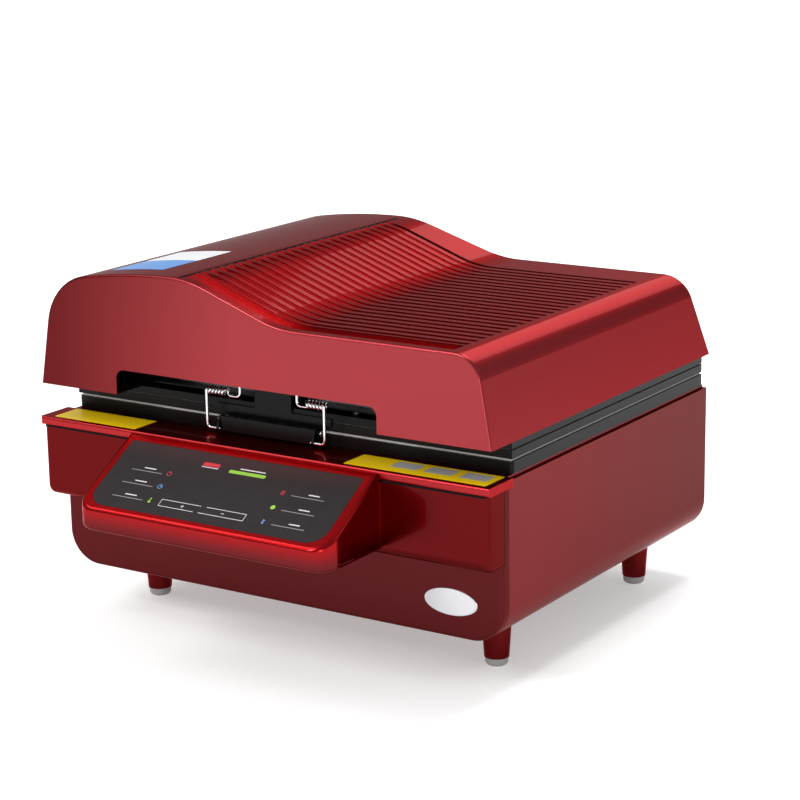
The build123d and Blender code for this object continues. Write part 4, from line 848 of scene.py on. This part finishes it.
# %% Strips of painted shade in the joints
fascia_low, fascia_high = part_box("front_fascia")
ends = ((-1, "left"), (1, "right"))
shade_strip_wide = 2.6 * MM
shade_strip_thick = 1.4 * MM
shade_strip_end = 1.5 * MM
shade_strip_tall = fascia_high.z - fascia_low.z - 2 * shade_strip_end
shade_strip_middle = (fascia_low.z + fascia_high.z) / 2
lip_wide = fascia_high.x - fascia_low.x - 2 * shade_strip_wide
lip_shade_strip = 2.0 * MM
lip_thick = 0.5 * MM
shade_strip_depth = 0.06 * MM
# The strips' near-black colour is painted shade: it stands for the shade in the gaps.
shade_strip_black = black("joint_shade_strip", 0.002, 0.006, 0.85, 1200.0, shade_strip_depth)


def beside(piece, name, finish, side, origin):
    """Settles a piece on a face of the cabinet that looks left (side -1) or right (side 1)."""
    settled(piece, name, finish, "cabinet", surface(origin, (0, side, 0), (0, 0, 1)))


for side, end in ends:
    shade_strip = raised(flat_bar(shade_strip_wide, shade_strip_tall, shade_strip_wide / 3), shade_strip_thick)
    origin = (side * panel_high.x, fascia_high.y + shade_strip_wide / 2, shade_strip_middle)
    beside(shade_strip, f"joint_{end}", shade_strip_black, side, origin)
shade_strip = raised(flat_bar(lip_wide, lip_shade_strip, lip_shade_strip / 4), lip_thick)
lip_place = surface((0, fascia_low.y, fascia_high.z - lip_shade_strip / 2), (1, 0, 0), (0, 0, 1))
settled(shade_strip, "joint_lip", shade_strip_black, "cabinet", lip_place)
print("joints, mm long:", round(shade_strip_tall / MM, 1), round(lip_wide / MM, 1))

# %% Caps in the ledge's ends
ledge_wall = 3.0 * MM
ledge_bend = 2.0 * MM
cap_gap = 0.1 * MM
cap_thick = 1.5 * MM
cap_corner = 0.5 * MM
cap_front = ledge_low.y + ledge_bend + ledge_wall + cap_gap
cap_back = ledge_high.y - ledge_wall - cap_gap
cap_tall = ledge_high.z - ledge_low.z - ledge_wall - cap_gap
cap_in = ledge_high.x - cap_thick - cap_gap
# The caps take the ledge's lighter red, which holds painted light.
for side, end in ends:
    cap = raised(flat_bar(cap_back - cap_front, cap_tall, cap_corner), cap_thick)
    origin = (side * cap_in, (cap_front + cap_back) / 2, ledge_low.z + cap_tall / 2)
    beside(cap, f"ledge_cap_{end}", ledge_red_painted_light, side, origin)
print("caps, mm:", round((cap_back - cap_front) / MM, 1), "x", round(cap_tall / MM, 1))

# %% Beads beside the console
console_low, console_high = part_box("control_console")
bead_wide = 3.0 * MM
bead_thick = 0.5 * MM
bead_low = console_low.z + 5 * MM
bead_high = ledge_low.z - 0.5 * MM
# The beads take the console's red, with its painted shade.
for side, end in ends:
    bead = raised(flat_bar(bead_wide, bead_high - bead_low, bead_wide / 3), bead_thick)
    origin = (side * console_high.x, fascia_low.y - bead_wide / 2, (bead_low + bead_high) / 2)
    beside(bead, f"console_bead_{end}", console_red, side, origin)
print("beads, mm long:", round((bead_high - bead_low) / MM, 1))

# %% [markdown]
# ## Ribs, ridge and crease
#
# The hood's lands between the grooves are flat in the frame, and rounded on the real hood. A
# narrow grid is dropped onto one land, crowned row by row and widened, so it follows the S-shaped
# fall. An Array repeats it from land to land. The same tool makes the slim ridge at the front, in
# a lighter red that is a painted highlight, and a near-black strip along the crease where the ribs
# begin is painted shadow.

# %% Strips that follow the hood
land_wide = 6.0 * MM
column_step = 3.5 * MM
end_falls = ((4 * MM, -0.5 * MM), (8 * MM, -0.3 * MM))
strip_wall = 0.8 * MM
smooth_below = math.radians(50)


def lifted(strip, height, wanted):
    """Moves the wanted points of a strip up or down."""
    for point in strip.data.vertices:
        point.select = wanted(point.co)
    bpy.ops.object.mode_set(mode="EDIT")
    bpy.ops.transform.translate(value=(0, 0, height))
    bpy.ops.object.mode_set(mode="OBJECT")


def crowned_strip(left, right, y, wide, profile):
    """Strip along the hood; its profile gives heights in mm at shares of half its width."""
    land = min(land_wide, wide)
    half = land / 2
    near = land / 50
    columns = int((right - left) / column_step)
    rows = 2 * (len(profile) - 1)
    strip = dropped_grid(left, right, y - half, y + half, columns, rows)
    for share, height in profile:
        lifted(strip, height * MM, lambda at: abs(abs(at.y - y) - share * half) < near)
    for reach, fall in end_falls:
        lifted(strip, fall, lambda at: min(at.x - left, right - at.x) < reach)
    bpy.ops.object.mode_set(mode="EDIT")
    bpy.ops.mesh.select_all(action="SELECT")
    bpy.ops.transform.resize(value=(1, wide / land, 1), center_override=(0, y, 0))
    bpy.ops.object.mode_set(mode="OBJECT")
    thickened(strip, strip_wall, -1.0)
    bpy.ops.object.shade_smooth_by_angle(angle=smooth_below)
    return strip


# %% Ribs and ridge
rib_count = 23
rib_pitch = 15.0 * MM
rib_wide = 11.4 * MM
rib_left = -78.0 * MM
rib_right = 232.0 * MM
first_rib = hood_low.y + 45.0 * MM
rib_profile = ((1.0, -2.6), (0.75, -0.4), (0.5, 0.35), (0.25, 0.7), (0.0, 0.8))
ridge_wide = 1.8 * MM
ridge_left = -72.0 * MM
ridge_right = 236.0 * MM
ridge_y = hood_low.y + 8.4 * MM
ridge_profile = ((1.0, -0.3), (0.5, 0.3), (0.0, 0.45))
ribs = crowned_strip(rib_left, rib_right, first_rib, rib_wide, rib_profile)
repeated(ribs, rib_count, (0.0, rib_pitch, 0.0))
settled(ribs, "hood_ribs", hood_red, "hood", as_it_lies)
# The ridge takes the ledge's lighter red: a painted highlight on a raised bead.
ridge = crowned_strip(ridge_left, ridge_right, ridge_y, ridge_wide, ridge_profile)
settled(ridge, "hood_ridge", ledge_red_painted_light, "hood", as_it_lies)
print("ribs:", rib_count, "faces:", len(ribs.data.polygons))

# %% Crease line
crease_left = -93.0 * MM
crease_wide = 2.8 * MM
crease_front = hood_low.y + 5 * MM
crease_back = hood_high.y - 60 * MM
crease_lift = 0.15 * MM
# Painted shadow: the near-black sheet on the crease stands for the shade in it.
crease_painted_shadow = black("crease_shadow", 0.002, 0.004, 0.9, 60.0, film_depth)
crease_lines = (crease_left, crease_left + crease_wide, crease_front, crease_back)
draped_film_and_shadow("crease_line", *crease_lines, crease_lift, crease_painted_shadow)
print("crease, mm long:", round((crease_back - crease_front) / MM, 1))

# %% [markdown]
# ## Studs and dimples of the platen
#
# With the hood up, the platen shows bright studs on a square grid and dark dimples between them.
# The dimples' darkness is painted shade: flat near-black discs, barely raised. The real holes are
# in the metal already, 44 mm apart. The discs stand at thirds of that, eight around each hole, and
# the studs on a grid of the same third. One dot is modelled with few faces, and Array modifiers
# repeat it.

# %% Rows over the platen
platen_low, platen_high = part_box("perforated_platen")
platen_middle = (platen_low + platen_high) / 2
hole_pitch = 44.0 * MM
hole_columns = 10
hole_rows = 7
dot_pitch = hole_pitch / 3
dot_sides = 8


def over_platen(piece, columns, rows, pitch, name, finish):
    """Repeats a piece over the platen, about its middle."""
    repeated(piece, columns, (pitch, 0.0, 0.0))
    repeated(piece, rows, (0.0, pitch, 0.0))
    origin = Vector((
        platen_middle.x - (columns - 1) * pitch / 2,
        platen_middle.y - (rows - 1) * pitch / 2,
        platen_high.z,
    ))
    settled(piece, name, finish, "cabinet", Matrix.Translation(origin))


# %% Studs and dimples
stud_columns = 3 * hole_columns + 1
stud_rows = 3 * hole_rows + 1
stud_r = 1.7 * MM
stud_tall = 0.5 * MM
stud_steps = ((0.6, 0.3 * MM),)
dimple_r = 2.1 * MM
dimple_tall = 0.05 * MM
dimple_depth = 0.02 * MM
# Painted shade: near-black discs stand for the shade in the dimples.
dimple_painted_shadow = black("dimple_shadow", 0.0005, 0.002, 0.8, 900.0, dimple_depth)
stud = raised(flat_disc(stud_r, dot_sides), stud_tall, steps=stud_steps)
over_platen(stud, stud_columns, stud_rows, dot_pitch, "platen_studs", plated)
dimples = [
    shifted(raised(flat_disc(dimple_r, dot_sides), dimple_tall), x * dot_pitch, y * dot_pitch)
    for x in (-1, 0, 1)
    for y in (-1, 0, 1)
    if (x, y) != (0, 0)
]
print("studs:", stud_columns * stud_rows, "dimples:", len(dimples) * hole_columns * hole_rows)
over_platen(
    joined(dimples), hole_columns, hole_rows, hole_pitch, "platen_dimple_shadows", dimple_painted_shadow
)

# %% [markdown]
# ## Screws and collars
#
# Pan-head screws hold the back panel, and a collar grips each end of each heater tube. Each is
# modelled once from a disc and copied with its own mesh, because a shared mesh can hold only one
# place.


# %% Copies
def copied(piece, place, name, body):
    """Plated copy of a piece with its own mesh, settled at a place."""
    copy = piece.copy()
    copy.data = piece.data.copy()
    bpy.context.collection.objects.link(copy)
    settled(copy, name, plated, body, place)


def removed(piece):
    """Takes the model of a repeated piece away."""
    bpy.data.objects.remove(piece, do_unlink=True)


# %% Back screws
rear_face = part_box("rear_panel")[1].y
screw_r = 3.4 * MM
screw_sides = 20
screw_tall = 0.9 * MM
screw_steps = ((0.85, 0.5 * MM), (0.7, 0.25 * MM), (0.8, -0.7 * MM))
screw_places = [(x, z) for x in (-256, 256) for z in (102, 152, 202)]
screw_places += [(x, 63) for x in (-180, 0, 180)]
screw_places += [(x, 208) for x in (-80, 80)]
screw = raised(flat_disc(screw_r, screw_sides), screw_tall, steps=screw_steps)
for number, (x, z) in enumerate(screw_places):
    place = surface((x * MM, rear_face, z * MM), (-1, 0, 0), (0, 0, 1))
    copied(screw, place, f"back_screw_{number}", "cabinet")
removed(screw)
print("back screws:", len(screw_places))

# %% Heater collars
tube_low, tube_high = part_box("heater_tubes")
tube_count = 5
tube_r = 6.0 * MM
tube_z = (tube_low.z + tube_high.z) / 2
tube_step = (tube_high.y - tube_low.y - 2 * tube_r) / (tube_count - 1)
collar_r = tube_r + 2.4 * MM
collar_sides = 28
collar_wall = 2.2 * MM
collar_long = 5.0 * MM
collar = raised(flat_disc(collar_r, collar_sides), collar_long, line=collar_wall)
for number in range(tube_count):
    y = tube_low.y + tube_r + number * tube_step
    for side, end in ends:
        place = surface((side * tube_high.x, y, tube_z), (0, -side, 0), (0, 0, 1))
        copied(collar, place, f"collar_{end}_{number}", "hood")
removed(collar)
print("heater collars:", len(ends) * tube_count)

# %% [markdown]
# ## Floor and sky
#
# The machine stands on a white sweep. The floor is white where the camera looks at it: a share of
# its light is added only for rays from the camera, from gloss and through glass, so none of it
# falls on the machine, and the soft shadow that seats the machine stays. Less is added close to
# the machine than far away, where the lamps reach less. An even white sky fills the shadows.

# %% Floor
floor_size = 60.0
floor_scale = 3.0
near_share = 0.38
far_share = 0.66
near_reach = 0.6
share_change = 1.2
floor_finish = Finish(
    "white_floor", Roughness=0.9, Emission_Strength=1.0, Specular_IOR_Level=0.0
)
floor_finish.colour(floor_finish.mix(floor_finish.grain(floor_scale), (0.80,) * 3, (0.84,) * 3))
seen = floor_finish.node("LightPath", output="Is Camera Ray")
glossy = floor_finish.node("LightPath", output="Is Glossy Ray")
through = floor_finish.node("LightPath", output="Is Transmission Ray")
away = floor_finish.node("VectorMath", {"operation": "LENGTH"}, {0: floor_finish.place()}, "Value")
far = ((away - near_reach) / share_change).held()
glow = floor_finish.mix(far, (near_share,) * 3, (far_share,) * 3)
added = floor_finish.mix(seen + glossy + through, (0.0,) * 3, glow)
floor_finish.feed(floor_finish.shader.inputs["Emission Color"], added)
bpy.ops.object.select_all(action="DESELECT")
bpy.ops.mesh.primitive_plane_add(size=floor_size, location=(0, 0, 0))
floor = bpy.context.object
floor.name = "floor"
floor.data.materials.append(floor_finish.material)
print("floor's added light:", near_share, "to", far_share)

# %% Sky
sky_strength = 0.48
world = bpy.data.worlds.new("studio")
bpy.context.scene.world = world
world.use_nodes = True
sky = world.node_tree.nodes["Background"]
sky.inputs["Color"].default_value = (1.0, 1.0, 1.0, 1.0)
sky.inputs["Strength"].default_value = sky_strength

# %% [markdown]
# ## Lamps
#
# Lacquer shows its lamps as highlights, so where a lamp stands matters as much as its power. The
# two strongest stand high above the machine's back, where the ribs catch them, and at the front
# left, where they light the hood's front. A large one behind and one high on the left soften the
# edges. A small low one at the front right and a weak one at the side keep the cabinet's side from
# going dark.


# %% Six soft lamps
def soft_lamp(name, place, aim, size, power):
    """Square area lamp at a place, turned to a point."""
    bpy.ops.object.light_add(type="AREA", location=place)
    lamp = bpy.context.object
    lamp.name = name
    lamp.data.size = size
    lamp.data.energy = power
    lamp.visible_camera = False
    lamp.rotation_euler = (Vector(aim) - Vector(place)).to_track_quat("-Z", "Y").to_euler()


soft_lamp("top_lamp", (0.3, 0.9, 3.0), (0, 0, 0.2), 1.0, 46.0)
soft_lamp("back_lamp", (-0.1, 2.6, 2.2), (0, 0, 0.3), 2.0, 25.0)
soft_lamp("high_lamp", (-1.6, -0.9, 2.3), (0, 0, 0.25), 1.2, 16.0)
soft_lamp("left_lamp", (-0.9, -2.4, 2.0), (0, 0, 0.25), 1.0, 46.0)
soft_lamp("near_lamp", (1.5, -2.4, 0.32), (0, 0, 0.2), 0.6, 9.0)
soft_lamp("side_lamp", (2.6, 0.9, 1.5), (0, 0, 0.2), 1.6, 3.0)
print("lamps' power, W:", sum(lamp.energy for lamp in bpy.data.lights))

# %% [markdown]
# ## The view
#
# Colours are shown as they are written, so the view is Standard.

# %% The view
bpy.context.scene.view_settings.view_transform = "Standard"
